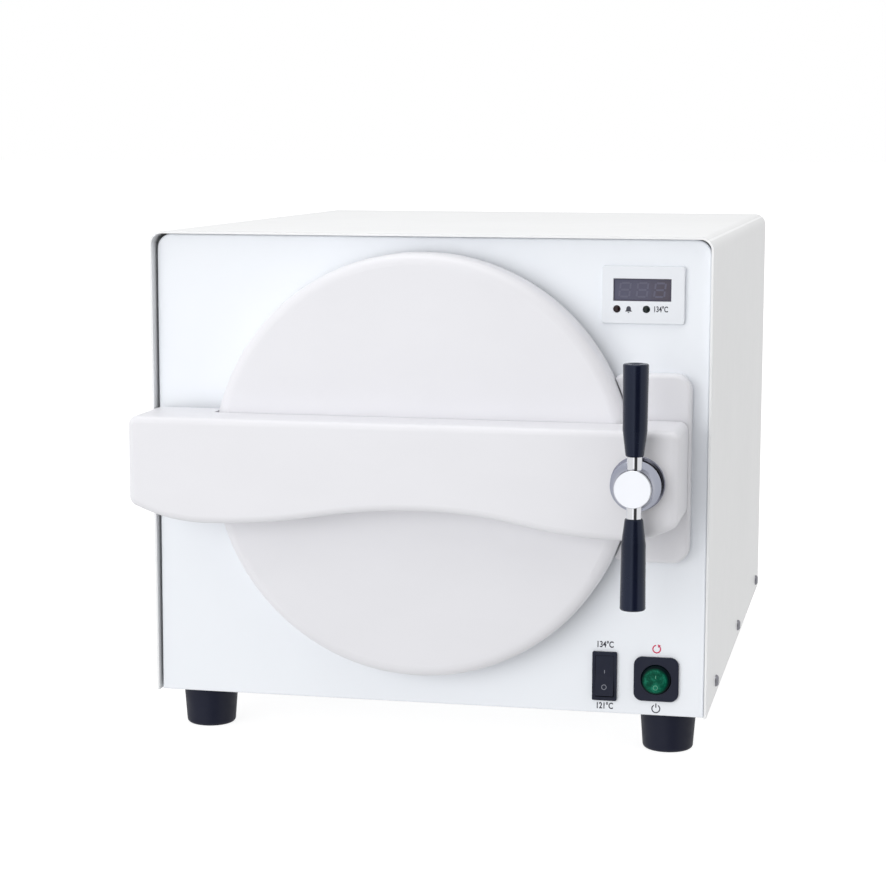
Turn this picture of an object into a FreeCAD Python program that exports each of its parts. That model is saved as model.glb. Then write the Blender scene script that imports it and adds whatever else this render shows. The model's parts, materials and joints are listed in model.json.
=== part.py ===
import FreeCAD, Part
import math
import os
import Sketcher

# Benchtop autoclave with a round lid on a swinging cross beam and a T-handle clamp screw.
#
# Every piece is drawn in the case's own directions: X to the right, Y from the cover's front edge
# towards the back, Z up from the underside of the case. Each finished piece is then raised by the
# height of the feet and moved along Y, so that the origin is the centre of the whole object's
# footprint on the bench.

# ---------------------------------------------------------------------------------------------
# Driving dimensions, in millimetres and degrees
# ---------------------------------------------------------------------------------------------

SIZES = {
    # case
    "case_width": 400,
    "case_height": 334,
    "case_depth": 500,
    "sheet": 1.5,
    "cover_bend": 9,
    "cover_slant": 5,
    "slack": 0.2,
    "pan_height": 25,
    "panel_setback": 8,
    "panel_gap": 1.2,
    "panel_top_gap": 0.5,
    "panel_shift": 0.6,
    "panel_corner": 10.5,
    "panel_flange": 12,
    "panel_edge_round": 1.2,
    "foot_height": 30.5,
    "foot_top_radius": 20,
    "foot_bottom_radius": 18,
    "foot_side_inset": 30,
    "foot_end_inset": 40,
    "screw_head_radius": 4.3,
    "screw_head_height": 2.3,
    "screw_radius": 1.9,
    "screw_hole_radius": 2.1,
    "cover_screw_height": 10.5,
    "cover_screw_front": 78,
    "cover_screw_pitch": 194.5,
    # chamber
    "lid_height": 174,
    "chamber_radius": 125,
    "chamber_wall": 2,
    "chamber_length": 353,
    "chamber_end": 3,
    "chamber_knuckle": 12,
    "flange_radius": 143,
    "flange_face": 4,
    "plate_front": 14,
    "plate_thick": 6,
    "plate_half_width": 188,
    "plate_waist": 112,
    "plate_bottom": 1.7,
    "plate_top": 318,
    "plate_arm_low": 66,
    "plate_arm_high": 262,
    "panel_opening_radius": 144.5,
    "jacket_thick": 14.5,
    "jacket_length": 336,
    # lid
    "lid_radius": 148,
    "lid_front": -24,
    "lid_back": 3,
    "lid_wall": 3,
    "lid_round": 8,
    "pressure_plate_radius": 141,
    "pressure_plate_front": -14,
    "pressure_plate_back": -5,
    "gasket_inner_radius": 126,
    "gasket_outer_radius": 139,
    "gasket_root": -8,
    "gasket_clear": 0.3,
    "stud_radius": 8,
    "stud_front": -56,
    # hinge
    "hinge_x": -178,
    "hinge_y": -42,
    "pin_radius": 5,
    "lug_radius": 12,
    "lug_half_width": 6,
    "lug_thick": 8,
    "knuckle_half": 13.6,
    "washer_thick": 0.8,
    # beam
    "bar_front": -49,
    "bar_back": -35,
    "beam_left": -197,
    "beam_right": 185,
    "beam_front": -60,
    "beam_top": 209,
    "beam_wall": 2.5,
    "beam_left_dip_x": -143,
    "beam_left_dip": 135.5,
    "beam_crest_x": 12,
    "beam_crest": 149.3,
    "beam_right_dip_x": 147,
    "beam_right_dip": 134.5,
    "beam_left_sweep": 121,
    "beam_right_sweep": 68,
    "beam_corner": 6,
    "beam_edge_round": 5,
    # clamp
    "clamp_x": 158,
    "spindle_radius": 6,
    "spindle_tip": -3.2,
    "boss_radius": 12.5,
    "boss_front": -57.7,
    "boss_back": -26,
    "hub_radius": 12.5,
    "hub_front": -88,
    "hub_back": -71,
    "rod_y": -78,
    "rod_radius": 5,
    "rod_half": 55,
    "grip_start": 20.5,
    "grip_length": 60.8,
    "grip_radius": 8.5,
    # latch
    "latch_left": 131,
    "latch_right": 187,
    "latch_low": 110,
    "latch_high": 241,
    "latch_face": -2,
    "latch_corner": 12,
    "latch_round": 3,
    # display
    "display_left": 123.4,
    "display_low": 274.4,
    "display_width": 57.1,
    "display_height": 39.6,
    "display_proud": 3,
    "window_left": 131.4,
    "window_low": 290,
    "window_width": 39.8,
    "window_height": 15.4,
    "lamp_radius": 2.5,
    "lamp_height": 284.5,
    "lamp_left_x": 134,
    "lamp_right_x": 154.3,
    # switches
    "temperature_x": 128.45,
    "temperature_z": 26.7,
    "temperature_width": 17.3,
    "temperature_height": 34.8,
    "power_x": 164.7,
    "power_z": 26.2,
    "power_bezel": 31.4,
    "power_bezel_corner": 6,
    "power_radius": 10.2,
    "rocker_tilt": -7,
    # rear fittings
    "valve_x": -120,
    "valve_nozzle_z": 42,
    "valve_stem_z": 76,
    "nozzle_radius": 5,
    "nozzle_end": 532,
    "safety_x": -60,
    "safety_z": 250,
    "inlet_x": 150,
    "inlet_z": 45,
    "fuse_x": 112,
}

# The furthest points in front of and behind the case, which set the centre of the footprint.
FRONT_REACH = "hub_front"
BACK_REACH = "nozzle_end"


class Size:
    """A length or an angle, together with the formula that drives it from the sheet."""

    def __init__(self, value, formula):
        self.value = float(value)
        self.formula = formula

    def __add__(self, other):
        return combined(self, other, "+", self.value + sized(other).value)

    def __radd__(self, other):
        return sized(other) + self

    def __sub__(self, other):
        return combined(self, other, "-", self.value - sized(other).value)

    def __rsub__(self, other):
        return sized(other) - self

    def __mul__(self, other):
        return combined(self, other, "*", self.value * sized(other).value)

    def __rmul__(self, other):
        return sized(other) * self

    def __truediv__(self, other):
        return combined(self, other, "/", self.value / sized(other).value)

    def __neg__(self):
        return Size(-self.value, "(-1 * %s)" % self.formula)


def sized(number):
    """A plain number as a Size; a Size is returned as it is."""
    if isinstance(number, Size):
        return number
    return Size(number, repr(float(number)))


def combined(left, right, sign, value):
    return Size(value, "(%s %s %s)" % (left.formula, sign, sized(right).formula))


def root(size):
    return Size(math.sqrt(size.value), "sqrt(%s)" % size.formula)


doc = FreeCAD.newDocument("benchtop_autoclave")
sheet = doc.addObject("Spreadsheet::Sheet", "sizes")
for row, (alias, number) in enumerate(SIZES.items(), start=1):
    sheet.set("A%d" % row, alias)
    sheet.set("B%d" % row, str(number))
    sheet.setAlias("B%d" % row, alias)
doc.recompute()


class Sizes:
    """Reads a driving dimension by its name: d.case_width."""

    def __getattr__(self, alias):
        return Size(SIZES[alias], "sizes.%s" % alias)


d = Sizes()
half_width = d.case_width / 2
footprint_centre = (getattr(d, FRONT_REACH) + getattr(d, BACK_REACH)) / 2
panel_back = d.panel_setback + d.sheet
plate_back = d.plate_front + d.plate_thick
chamber_back = d.plate_front + d.chamber_length + d.chamber_end
case_back = d.case_depth

nodes = []


def bind(obj, prop, size):
    """Set a property from a Size and tie it to the sheet when the Size comes from it."""
    size = sized(size)
    if "sizes." in size.formula:
        obj.setExpression(prop, size.formula)
    elif prop.startswith("Placement.Base."):
        base = obj.Placement.Base
        setattr(base, prop[-1], size.value)
        obj.Placement = FreeCAD.Placement(base, obj.Placement.Rotation)
    else:
        setattr(obj, prop, size.value)


def place(obj, x, y, z, rotation=None):
    """Place an object inside the case's own directions."""
    if rotation is not None:
        obj.Placement = FreeCAD.Placement(FreeCAD.Vector(), rotation)
    bind(obj, "Placement.Base.x", x)
    bind(obj, "Placement.Base.y", y)
    bind(obj, "Placement.Base.z", z)


def stand(obj, label, x=0, y=0, z=0, rotation=None):
    """Finish a sub-part: name it and stand it on the bench, centred front to back."""
    obj.Label = label
    place(obj, x, sized(y) - footprint_centre, sized(z) + d.foot_height, rotation)
    nodes.append(obj)
    return obj


ALONG_Y = FreeCAD.Rotation(FreeCAD.Vector(1, 0, 0), -90)
ALONG_X = FreeCAD.Rotation(FreeCAD.Vector(0, 1, 0), 90)
UPSIDE_DOWN = FreeCAD.Rotation(FreeCAD.Vector(1, 0, 0), 180)
TOWARDS_LEFT = FreeCAD.Rotation(FreeCAD.Vector(0, 1, 0), -90)

# ---------------------------------------------------------------------------------------------
# Sketch loops
# ---------------------------------------------------------------------------------------------


def circle(x, y, radius):
    return {"centre": (sized(x), sized(y)), "radius": sized(radius)}


def outline(*points):
    """A closed loop. A point is (x, y), or (x, y, r) where the edge that leaves it is an arc of
    radius r: positive with its centre on the left of the way travelled, negative on the right."""
    return {"points": [tuple(sized(part) for part in point) for point in points]}


def rectangle(left, low, right, high):
    return outline((left, low), (right, low), (right, high), (left, high))


def rounded(left, low, right, high, corner):
    """A rectangle with equal round corners."""
    left, low, right, high = (sized(edge) for edge in (left, low, right, high))
    return outline(
        (left + corner, low), (right - corner, low, corner),
        (right, low + corner), (right, high - corner, corner),
        (right - corner, high), (left + corner, high, corner),
        (left, high - corner), (left, low + corner, corner),
    )


def arc_edge(start, end, radius):
    """The sketch arc from start to end, as geometry and whether it runs backwards."""
    chord = end - start
    half = chord.Length / 2
    rise = math.sqrt(max(radius * radius - half * half, 0))
    left = FreeCAD.Vector(-chord.y, chord.x, 0).normalize()
    centre = (start + end) / 2 + left * (rise if radius > 0 else -rise)
    first, last = (start, end) if radius > 0 else (end, start)
    angles = [math.atan2(point.y - centre.y, point.x - centre.x) for point in (first, last)]
    ring = Part.Circle(centre, FreeCAD.Vector(0, 0, 1), abs(radius))
    return Part.ArcOfCircle(ring, angles[0], angles[1]), radius < 0


def pin_point(sketch, edge, end, x, y):
    """Hold one end of an edge at its two coordinates."""
    for kind, size in (("DistanceX", x), ("DistanceY", y)):
        number = sketch.addConstraint(Sketcher.Constraint(kind, edge, end, size.value))
        if "sizes." in size.formula:
            sketch.setExpression("Constraints[%d]" % number, size.formula)


def hold_radius(sketch, edge, radius):
    number = sketch.addConstraint(Sketcher.Constraint("Radius", edge, abs(radius.value)))
    if "sizes." in radius.formula:
        sign = "" if radius.value > 0 else "-1 * "
        sketch.setExpression("Constraints[%d]" % number, sign + radius.formula)


def draw(sketch, loop):
    """Add a loop to a sketch, fully constrained."""
    if "radius" in loop:
        x, y = loop["centre"]
        ring = Part.Circle(FreeCAD.Vector(x.value, y.value, 0), FreeCAD.Vector(0, 0, 1),
                           loop["radius"].value)
        edge = sketch.addGeometry(ring, False)
        pin_point(sketch, edge, 3, x, y)
        hold_radius(sketch, edge, loop["radius"])
        return
    corners = loop["points"]
    edges = []
    for index, point in enumerate(corners):
        following = corners[(index + 1) % len(corners)]
        start = FreeCAD.Vector(point[0].value, point[1].value, 0)
        end = FreeCAD.Vector(following[0].value, following[1].value, 0)
        backwards = False
        if len(point) > 2:
            geometry, backwards = arc_edge(start, end, point[2].value)
        else:
            geometry = Part.LineSegment(start, end)
        edges.append((sketch.addGeometry(geometry, False), backwards))
    for index, point in enumerate(corners):
        edge, backwards = edges[index]
        before, before_backwards = edges[index - 1]
        start_end = 2 if backwards else 1
        finish_end = 1 if before_backwards else 2
        sketch.addConstraint(Sketcher.Constraint("Coincident", before, finish_end, edge, start_end))
        pin_point(sketch, edge, start_end, point[0], point[1])
        if len(point) > 2:
            hold_radius(sketch, edge, point[2])


# ---------------------------------------------------------------------------------------------
# Bodies
# ---------------------------------------------------------------------------------------------

# For each way a sketch may face: its origin plane, whether growing towards the back, the top or
# the right is the plane's own direction, and the sign of an offset that way.
FACINGS = {
    "front": ("XZ_Plane", False, -1),
    "top": ("XY_Plane", True, 1),
    "side": ("YZ_Plane", True, 1),
}


class Piece:
    """One body: loops on its own origin planes, grown or cut towards the back, top or right."""

    def __init__(self, several=False):
        self.body = doc.addObject("PartDesign::Body", "body")
        self.body.AllowCompound = several
        self.tip = None

    def plane(self, role):
        return next(item for item in self.body.Origin.OriginFeatures if item.Role == role)

    def sketch(self, facing, loops, start):
        role, own_way, sign = FACINGS[facing]
        sketch = self.body.newObject("Sketcher::SketchObject", "sketch")
        sketch.AttachmentSupport = [(self.plane(role), "")]
        sketch.MapMode = "FlatFace"
        start = sized(start)
        sketch.AttachmentOffset = FreeCAD.Placement(FreeCAD.Vector(0, 0, sign * start.value),
                                                    FreeCAD.Rotation())
        if "sizes." in start.formula:
            sketch.setExpression("AttachmentOffset.Base.z", "%d * %s" % (sign, start.formula))
        for loop in loops:
            draw(sketch, loop)
        return sketch

    def pad(self, facing, loops, start, end):
        feature = self.body.newObject("PartDesign::Pad", "pad")
        feature.Profile = self.sketch(facing, loops, start)
        bind(feature, "Length", sized(end) - sized(start))
        feature.Reversed = not FACINGS[facing][1]
        return self.settle(feature)

    def pocket(self, facing, loops, start, end):
        feature = self.body.newObject("PartDesign::Pocket", "pocket")
        feature.Profile = self.sketch(facing, loops, start)
        bind(feature, "Length", sized(end) - sized(start))
        feature.Reversed = FACINGS[facing][1]
        return self.settle(feature, cuts=True)

    def revolve(self, points):
        """Turn a profile of (radius, height) about the body's own Z axis."""
        feature = self.body.newObject("PartDesign::Revolution", "revolution")
        profile = self.sketch("front", [outline(*points)], 0)
        feature.Profile = profile
        feature.ReferenceAxis = (profile, ["V_Axis"])
        feature.Angle = 360
        return self.settle(feature)

    def fillet(self, radius, wanted):
        """Round the edges for which wanted(edge) is true."""
        names = ["Edge%d" % number for number, edge in enumerate(self.tip.Shape.Edges, start=1)
                 if wanted(edge)]
        feature = self.body.newObject("PartDesign::Fillet", "fillet")
        feature.Base = (self.tip, names)
        bind(feature, "Radius", radius)
        return self.settle(feature)

    def pattern(self, axis, length, count):
        """Repeat everything made so far in a row along X_Axis, Y_Axis or Z_Axis."""
        feature = self.body.newObject("PartDesign::LinearPattern", "pattern")
        feature.Originals = [self.tip]
        feature.Direction = (self.plane(axis), [""])
        bind(feature, "Length", length)
        feature.Occurrences = count
        return self.settle(feature)

    def settle(self, feature, cuts=False):
        before = self.tip.Shape.Volume if cuts else 0
        self.body.Tip = feature
        self.tip = feature
        feature.recompute(True)
        if cuts and feature.Shape.Volume >= before - 1e-6:
            raise RuntimeError("a pocket of %s cuts nothing" % self.body.Name)
        return self


def near(number, target, tolerance=0.01):
    return abs(number - target) < tolerance


def edge_at_y(size):
    """Chooses the edges that lie wholly at one depth."""
    return lambda edge: near(edge.BoundBox.YMin, size.value) and near(edge.BoundBox.YMax, size.value)


def turned(label, points, x, y, z, rotation=ALONG_Y):
    """A turned piece; its profile's heights count along the turned axis from (x, y, z)."""
    piece = Piece().revolve(points)
    return stand(piece.body, label, x, y, z, rotation)


# ---------------------------------------------------------------------------------------------
# Primitives
# ---------------------------------------------------------------------------------------------


def block(left, right, front, back, low, high):
    box = doc.addObject("Part::Box", "block")
    bind(box, "Length", sized(right) - left)
    bind(box, "Width", sized(back) - front)
    bind(box, "Height", sized(high) - low)
    place(box, left, front, low)
    return box


def rod(radius, length, x, y, z, rotation=None):
    cylinder = doc.addObject("Part::Cylinder", "rod")
    bind(cylinder, "Radius", radius)
    bind(cylinder, "Height", length)
    place(cylinder, x, y, z, rotation or FreeCAD.Rotation())
    return cylinder


def fused(*shapes):
    fuse = doc.addObject("Part::MultiFuse", "fuse")
    fuse.Shapes = list(shapes)
    fuse.Refine = True
    return fuse


def copies(pattern, places):
    """Separate copies of one object, each as (x, y, z) or (x, y, z, rotation), in one compound."""
    links = []
    for spot in places:
        link = doc.addObject("App::Link", "copy")
        link.LinkedObject = pattern
        rotation = spot[3] if len(spot) > 3 else FreeCAD.Rotation()
        place(link, spot[0], spot[1], spot[2], rotation)
        links.append(link)
    group = doc.addObject("Part::Compound", "group")
    group.Links = links
    return group


def pan_head_screw(length):
    """A pan-head screw whose head stands on height 0 and whose shank goes down from there."""
    piece = Piece()
    piece.revolve([
        (0, d.screw_head_height), (0, -sized(length)),
        (d.screw_radius, -sized(length)), (d.screw_radius, 0),
        (d.screw_head_radius, 0), (d.screw_head_radius, d.screw_head_height * 0.4, 2.6),
        (d.screw_head_radius * 0.6, d.screw_head_height),
    ])
    return piece.body


def bent_tube(points, radius, bore, bend):
    """A tube through the points, with an arc of the bend radius at each inner point."""
    corners = [FreeCAD.Vector(*[sized(part).value for part in point]) for point in points]
    edges = []
    last = corners[0]
    for before, here, after in zip(corners, corners[1:], corners[2:]):
        into = (here - before).normalize()
        out = (after - here).normalize()
        turn = into.getAngle(out)
        reach = bend * math.tan(turn / 2)
        middle = (out - into).normalize() * (bend / math.cos(turn / 2) - bend)
        edges.append(Part.LineSegment(last, here - into * reach).toShape())
        edges.append(Part.Arc(here - into * reach, here + middle, here + out * reach).toShape())
        last = here + out * reach
    edges.append(Part.LineSegment(last, corners[-1]).toShape())
    path = Part.Wire(edges)
    start = (corners[1] - corners[0]).normalize()
    solids = []
    for size in (radius, bore):
        ring = Part.Wire([Part.makeCircle(sized(size).value, corners[0], start)])
        solids.append(path.makePipeShell([ring], True, False))
    tube = solids[0].cut(solids[1])
    section = math.pi * (sized(radius).value ** 2 - sized(bore).value ** 2)
    if not near(tube.Volume / (section * path.Length), 1, 0.02):
        raise RuntimeError("a tube's volume doesn't match its section and length")
    return tube


# ---------------------------------------------------------------------------------------------
# Case
# ---------------------------------------------------------------------------------------------

FOOT_PLACES = [
    (side * (half_width - d.foot_side_inset), depth)
    for side in (-1, 1)
    for depth in (d.foot_end_inset, case_back - d.foot_end_inset)
]
COVER_SCREW_DEPTHS = [d.cover_screw_front + d.cover_screw_pitch * index for index in range(3)]
INNER_HALF = half_width - d.sheet
FAR = 1


def arch(half, top, corner, low, middle=0):
    """A plate outline with two round upper corners, its middle moved sideways."""
    left = middle - half
    right = middle + half
    return outline((left, low), (right, low), (right, top - corner, corner),
                   (right - corner, top), (left + corner, top, corner), (left, top - corner))


def make_wrap_cover():
    """Inverted U of sheet whose side edges slant back a little towards the bottom."""
    piece = Piece()
    piece.pad("front", [arch(half_width, d.case_height, d.cover_bend, 0)], 0, case_back)
    inner_bend = d.cover_bend - d.sheet
    piece.pocket("front", [arch(INNER_HALF, d.case_height - d.sheet, inner_bend, -FAR)],
                 0, case_back)
    slant = outline((0, d.case_height), (-FAR, d.case_height), (-FAR, -FAR), (d.cover_slant, -FAR))
    piece.pocket("side", [slant], -half_width - FAR, half_width + FAR)
    holes = [circle(depth, d.cover_screw_height, d.screw_hole_radius)
             for depth in COVER_SCREW_DEPTHS]
    piece.pocket("side", holes, -half_width - FAR, half_width + FAR)
    stand(piece.body, "wrap_cover")


PAN_FRONT = d.panel_setback + d.panel_flange + d.slack
PAN_BACK = case_back - d.sheet - d.slack
PAN_HALF = INNER_HALF - d.slack
VENT_LENGTH = 40
VENT_PITCH = 12
VENT_WIDTH = 5
VENT_COUNT = 8
PAN_VENT_FRONT = 130
BACK_VENT_LOW = 200


def vent_slot(centre, low):
    """One cooling slot with nearly half-round ends."""
    half = VENT_LENGTH / 2
    return rounded(centre - half, low, centre + half, low + VENT_WIDTH, VENT_WIDTH / 2 - 0.1)


def make_base_pan():
    """Floor pan with upturned side and back walls, foot-screw holes and two rows of slots."""
    piece = Piece()
    piece.pad("top", [rectangle(-PAN_HALF, PAN_FRONT, PAN_HALF, PAN_BACK)], 0, d.pan_height)
    inner = rectangle(d.sheet - PAN_HALF, PAN_FRONT - FAR, PAN_HALF - d.sheet,
                      PAN_BACK - d.sheet)
    piece.pocket("top", [inner], d.sheet, d.pan_height)
    holes = [circle(x, y, d.screw_hole_radius) for x, y in FOOT_PLACES]
    piece.pocket("top", holes, 0, d.sheet)
    for centre in (-90, 90):
        piece.pocket("top", [vent_slot(centre, PAN_VENT_FRONT)], 0, d.sheet)
        piece.pattern("Y_Axis", VENT_PITCH * (VENT_COUNT - 1), VENT_COUNT)
    screw_holes = [circle(depth, d.cover_screw_height, d.screw_hole_radius)
                   for depth in COVER_SCREW_DEPTHS]
    piece.pocket("side", screw_holes, -half_width, half_width)
    back_holes = [circle(x, d.cover_screw_height, d.screw_hole_radius) for x in (-185, 185)]
    piece.pocket("front", back_holes, PAN_BACK - d.sheet, PAN_BACK)
    stand(piece.body, "base_pan")


def make_front_panel():
    """Flanged panel, open to the back, with the cut-outs for lid, latch, display and switches."""
    half = INNER_HALF - d.panel_gap
    top = d.case_height - d.sheet - d.panel_top_gap
    shift = d.panel_shift
    back = d.panel_setback + d.panel_flange
    piece = Piece()
    piece.pad("front", [arch(half, top, d.panel_corner, 0, shift)], d.panel_setback, back)
    piece.fillet(d.panel_edge_round, edge_at_y(d.panel_setback))
    inner = arch(half - d.sheet, top - d.sheet, d.panel_corner - d.sheet, d.sheet, shift)
    piece.pocket("front", [inner], panel_back, back)
    openings = [
        circle(0, d.lid_height, d.panel_opening_radius),
        circle(d.clamp_x, d.lid_height, LATCH_BLOCK_RADIUS + 1),
        rectangle(*display_cut_out()),
        rectangle(*temperature_cut_out()),
        circle(d.power_x, d.power_z, POWER_HOUSING_RADIUS + 0.3),
    ]
    openings += [circle(x, z, d.screw_hole_radius) for x, z in hinge_screw_places()]
    piece.pocket("front", openings, d.panel_setback, panel_back)
    stand(piece.body, "front_panel")


def make_back_panel():
    """Plain plate with the holes for the rear fittings and a block of louvre slots."""
    half = INNER_HALF - d.slack
    piece = Piece()
    front = case_back - d.sheet
    piece.pad("front", [arch(half, d.case_height - d.sheet - d.slack, d.cover_bend - d.sheet, 0)],
              front, case_back)
    holes = [
        circle(d.valve_x, d.valve_nozzle_z, VALVE_COLLAR_RADIUS + 0.5),
        circle(d.valve_x, d.valve_stem_z, VALVE_BONNET_RADIUS + 0.5),
        circle(d.safety_x, d.safety_z, SAFETY_RADIUS + 0.5),
        circle(d.fuse_x, d.inlet_z, FUSE_BODY_RADIUS + 0.2),
        rectangle(d.inlet_x - INLET_HALF_WIDTH - 0.2, d.inlet_z - INLET_HALF_HEIGHT - 0.2,
                  d.inlet_x + INLET_HALF_WIDTH + 0.2, d.inlet_z + INLET_HALF_HEIGHT + 0.2),
    ]
    holes += [circle(x, z, d.screw_hole_radius) for x, z in back_screw_places()]
    piece.pocket("front", holes, front, case_back)
    for centre in (70, 130):
        piece.pocket("front", [vent_slot(centre, BACK_VENT_LOW)], front, case_back)
        piece.pattern("Z_Axis", VENT_PITCH * (VENT_COUNT - 1), VENT_COUNT)
    stand(piece.body, "back_panel")


def back_screw_places():
    return [(x, z) for x in (-185, 185) for z in (d.cover_screw_height, d.case_height - 16)]


FOOT_RECESS_RADIUS = 6
FOOT_HEAD_Z = -9


def make_feet():
    """Four tapered rubber feet, each hollowed from below for its screw head."""
    foot = Piece()
    foot.revolve([
        (d.screw_hole_radius, FOOT_HEAD_Z), (FOOT_RECESS_RADIUS, FOOT_HEAD_Z),
        (FOOT_RECESS_RADIUS, -d.foot_height), (d.foot_bottom_radius - 3, -d.foot_height, 3),
        (d.foot_bottom_radius, 3 - d.foot_height), (d.foot_top_radius, -1.5, 1.5),
        (d.foot_top_radius - 1.5, 0), (d.screw_hole_radius, 0),
    ])
    places = [(x, y, 0) for x, y in FOOT_PLACES]
    stand(copies(foot.body, places), "rubber_feet")
    screw = pan_head_screw(17)
    stand(copies(screw, [(x, y, FOOT_HEAD_Z, UPSIDE_DOWN) for x, y in FOOT_PLACES]), "foot_screws")


def make_case_screws():
    """The cover's six side screws and the back panel's four."""
    screw = pan_head_screw(7)
    places = []
    for depth in COVER_SCREW_DEPTHS:
        places.append((half_width, depth, d.cover_screw_height, ALONG_X))
        places.append((-half_width, depth, d.cover_screw_height, TOWARDS_LEFT))
    stand(copies(screw, places), "cover_screws")
    places = [(x, case_back, z, ALONG_Y) for x, z in back_screw_places()]
    stand(copies(screw, places), "back_panel_screws")


# ---------------------------------------------------------------------------------------------
# Chamber
# ---------------------------------------------------------------------------------------------

HEATER_HALF_PITCH = 40
HEATER_RADIUS = 4.2
HEATER_Z = 75
HEATER_FRONT = 100
PROBE_RADIUS = 2.5
PROBE_X = 60
PROBE_Z = 240
PIPE_RADIUS = 4
PIPE_BORE = 3
DRAIN_PORT = (-80, 110)
DRAIN_INLET_Z = 60


def make_mounting_plate():
    """Cross-shaped steel plate that carries the flange, the hinge bracket and the latch block."""
    wide = d.plate_half_width
    waist = d.plate_waist
    low = d.plate_arm_low
    high = d.plate_arm_high
    cross = outline(
        (-waist, d.plate_bottom), (waist, d.plate_bottom), (waist, low), (wide, low), (wide, high),
        (waist, high), (waist, d.plate_top), (-waist, d.plate_top), (-waist, high), (-wide, high),
        (-wide, low), (-waist, low),
    )
    piece = Piece()
    piece.pad("front", [cross], d.plate_front, plate_back)
    outer = d.chamber_radius + d.chamber_wall
    piece.pocket("front", [circle(0, d.lid_height, outer + 0.2)], d.plate_front, plate_back)
    holes = [circle(x, z, d.screw_hole_radius) for x, z in hinge_screw_places()]
    piece.pocket("front", holes, d.plate_front, plate_back)
    stand(piece.body, "mounting_plate")


def make_chamber():
    """Flange ring, thin stainless vessel with a knuckled back end, and its insulation."""
    inner = d.chamber_radius
    outer = inner + d.chamber_wall
    turned("chamber_flange",
           [(inner, 0), (d.flange_radius, 0), (d.flange_radius, d.plate_front - d.flange_face),
            (inner, d.plate_front - d.flange_face)],
           0, d.flange_face, d.lid_height)
    length = d.chamber_length
    total = length + d.chamber_end
    bend = d.chamber_knuckle
    piece = Piece()
    piece.revolve([
        (inner, 0), (outer, 0), (outer, total - bend, bend), (outer - bend, total),
        (0, total), (0, length), (inner - bend, length, -bend), (inner, length - bend),
    ])
    ports = [circle(side * HEATER_HALF_PITCH, d.lid_height - HEATER_Z, HEATER_RADIUS + 0.2)
             for side in (-1, 1)]
    ports.append(circle(PROBE_X, d.lid_height - PROBE_Z, PROBE_RADIUS + 0.2))
    ports.append(circle(d.safety_x, d.lid_height - d.safety_z, PIPE_BORE))
    ports.append(circle(DRAIN_PORT[0], d.lid_height - DRAIN_PORT[1], PIPE_BORE))
    piece.pocket("top", ports, length - FAR, total + FAR)
    stand(piece.body, "chamber_vessel", 0, d.plate_front, d.lid_height, ALONG_Y)
    jacket_inner = outer + 0.3
    turned("insulation_jacket",
           [(jacket_inner, 0), (jacket_inner + d.jacket_thick, 0),
            (jacket_inner + d.jacket_thick, d.jacket_length), (jacket_inner, d.jacket_length)],
           0, plate_back + d.slack, d.lid_height)


SADDLE_HALF = 80
SADDLE_THICK = 3
SADDLE_FRONT = 90
SADDLE_PITCH = 210


def make_supports():
    """Two saddle plates under the jacket."""
    arc = d.chamber_radius + d.chamber_wall + 0.3 + d.jacket_thick + 0.3
    shoulder = d.lid_height - root(arc * arc - SADDLE_HALF * SADDLE_HALF)
    saddle = outline((-SADDLE_HALF, d.sheet), (SADDLE_HALF, d.sheet),
                     (SADDLE_HALF, shoulder, -arc), (-SADDLE_HALF, shoulder))
    piece = Piece(several=True)
    piece.pad("front", [saddle], SADDLE_FRONT, SADDLE_FRONT + SADDLE_THICK)
    piece.pattern("Y_Axis", SADDLE_PITCH, 2)
    stand(piece.body, "chamber_supports")


def make_heating():
    """Hairpin heating element with its terminals, the probe and the overheat thermostat."""
    tail = chamber_back + 18
    legs = [rod(HEATER_RADIUS, tail - HEATER_FRONT, side * HEATER_HALF_PITCH, HEATER_FRONT,
                HEATER_Z, ALONG_Y) for side in (-1, 1)]
    bend = doc.addObject("Part::Torus", "bend")
    bend.Radius1 = HEATER_HALF_PITCH
    bend.Radius2 = HEATER_RADIUS
    bend.Angle3 = 180
    half_turn = FreeCAD.Rotation(FreeCAD.Vector(0, 0, 1), 180)
    place(bend, 0, HEATER_FRONT, HEATER_Z, half_turn)
    stand(fused(bend, *legs), "heating_element")
    nut = Piece()
    nut.revolve([(HEATER_RADIUS + 0.1, 0), (9, 0), (9, 6), (6.5, 8), (6.5, 14),
                 (HEATER_RADIUS + 0.1, 14)])
    places = [(side * HEATER_HALF_PITCH, chamber_back, HEATER_Z, ALONG_Y) for side in (-1, 1)]
    stand(copies(nut.body, places), "heater_terminals")
    turned("temperature_probe",
           [(0, -85), (PROBE_RADIUS, -85), (PROBE_RADIUS, 0), (7, 0), (7, 9), (4, 11), (4, 16),
            (0, 16)],
           PROBE_X, chamber_back, PROBE_Z)
    turned("overheat_thermostat",
           [(0, 0), (16, 0), (16, 1), (12, 1), (12, 10), (0, 10)],
           0, chamber_back, d.lid_height)


RACK_HALF = 88
RACK_FRONT = 45
RACK_BACK = 335
RACK_LOW = 88
RACK_HIGH = 256
RACK_SHEET = 1.5
RAIL_WIDTH = 8
RAIL_FIRST = 100
RAIL_PITCH = 52
TRAY_NAMES = ("tray_lower", "tray_middle", "tray_upper")
TRAY_HALF = 85
TRAY_FRONT = 48
TRAY_BACK = 332
TRAY_WALL = 1
TRAY_HEIGHT = 16
TRAY_CORNER = 8


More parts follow.
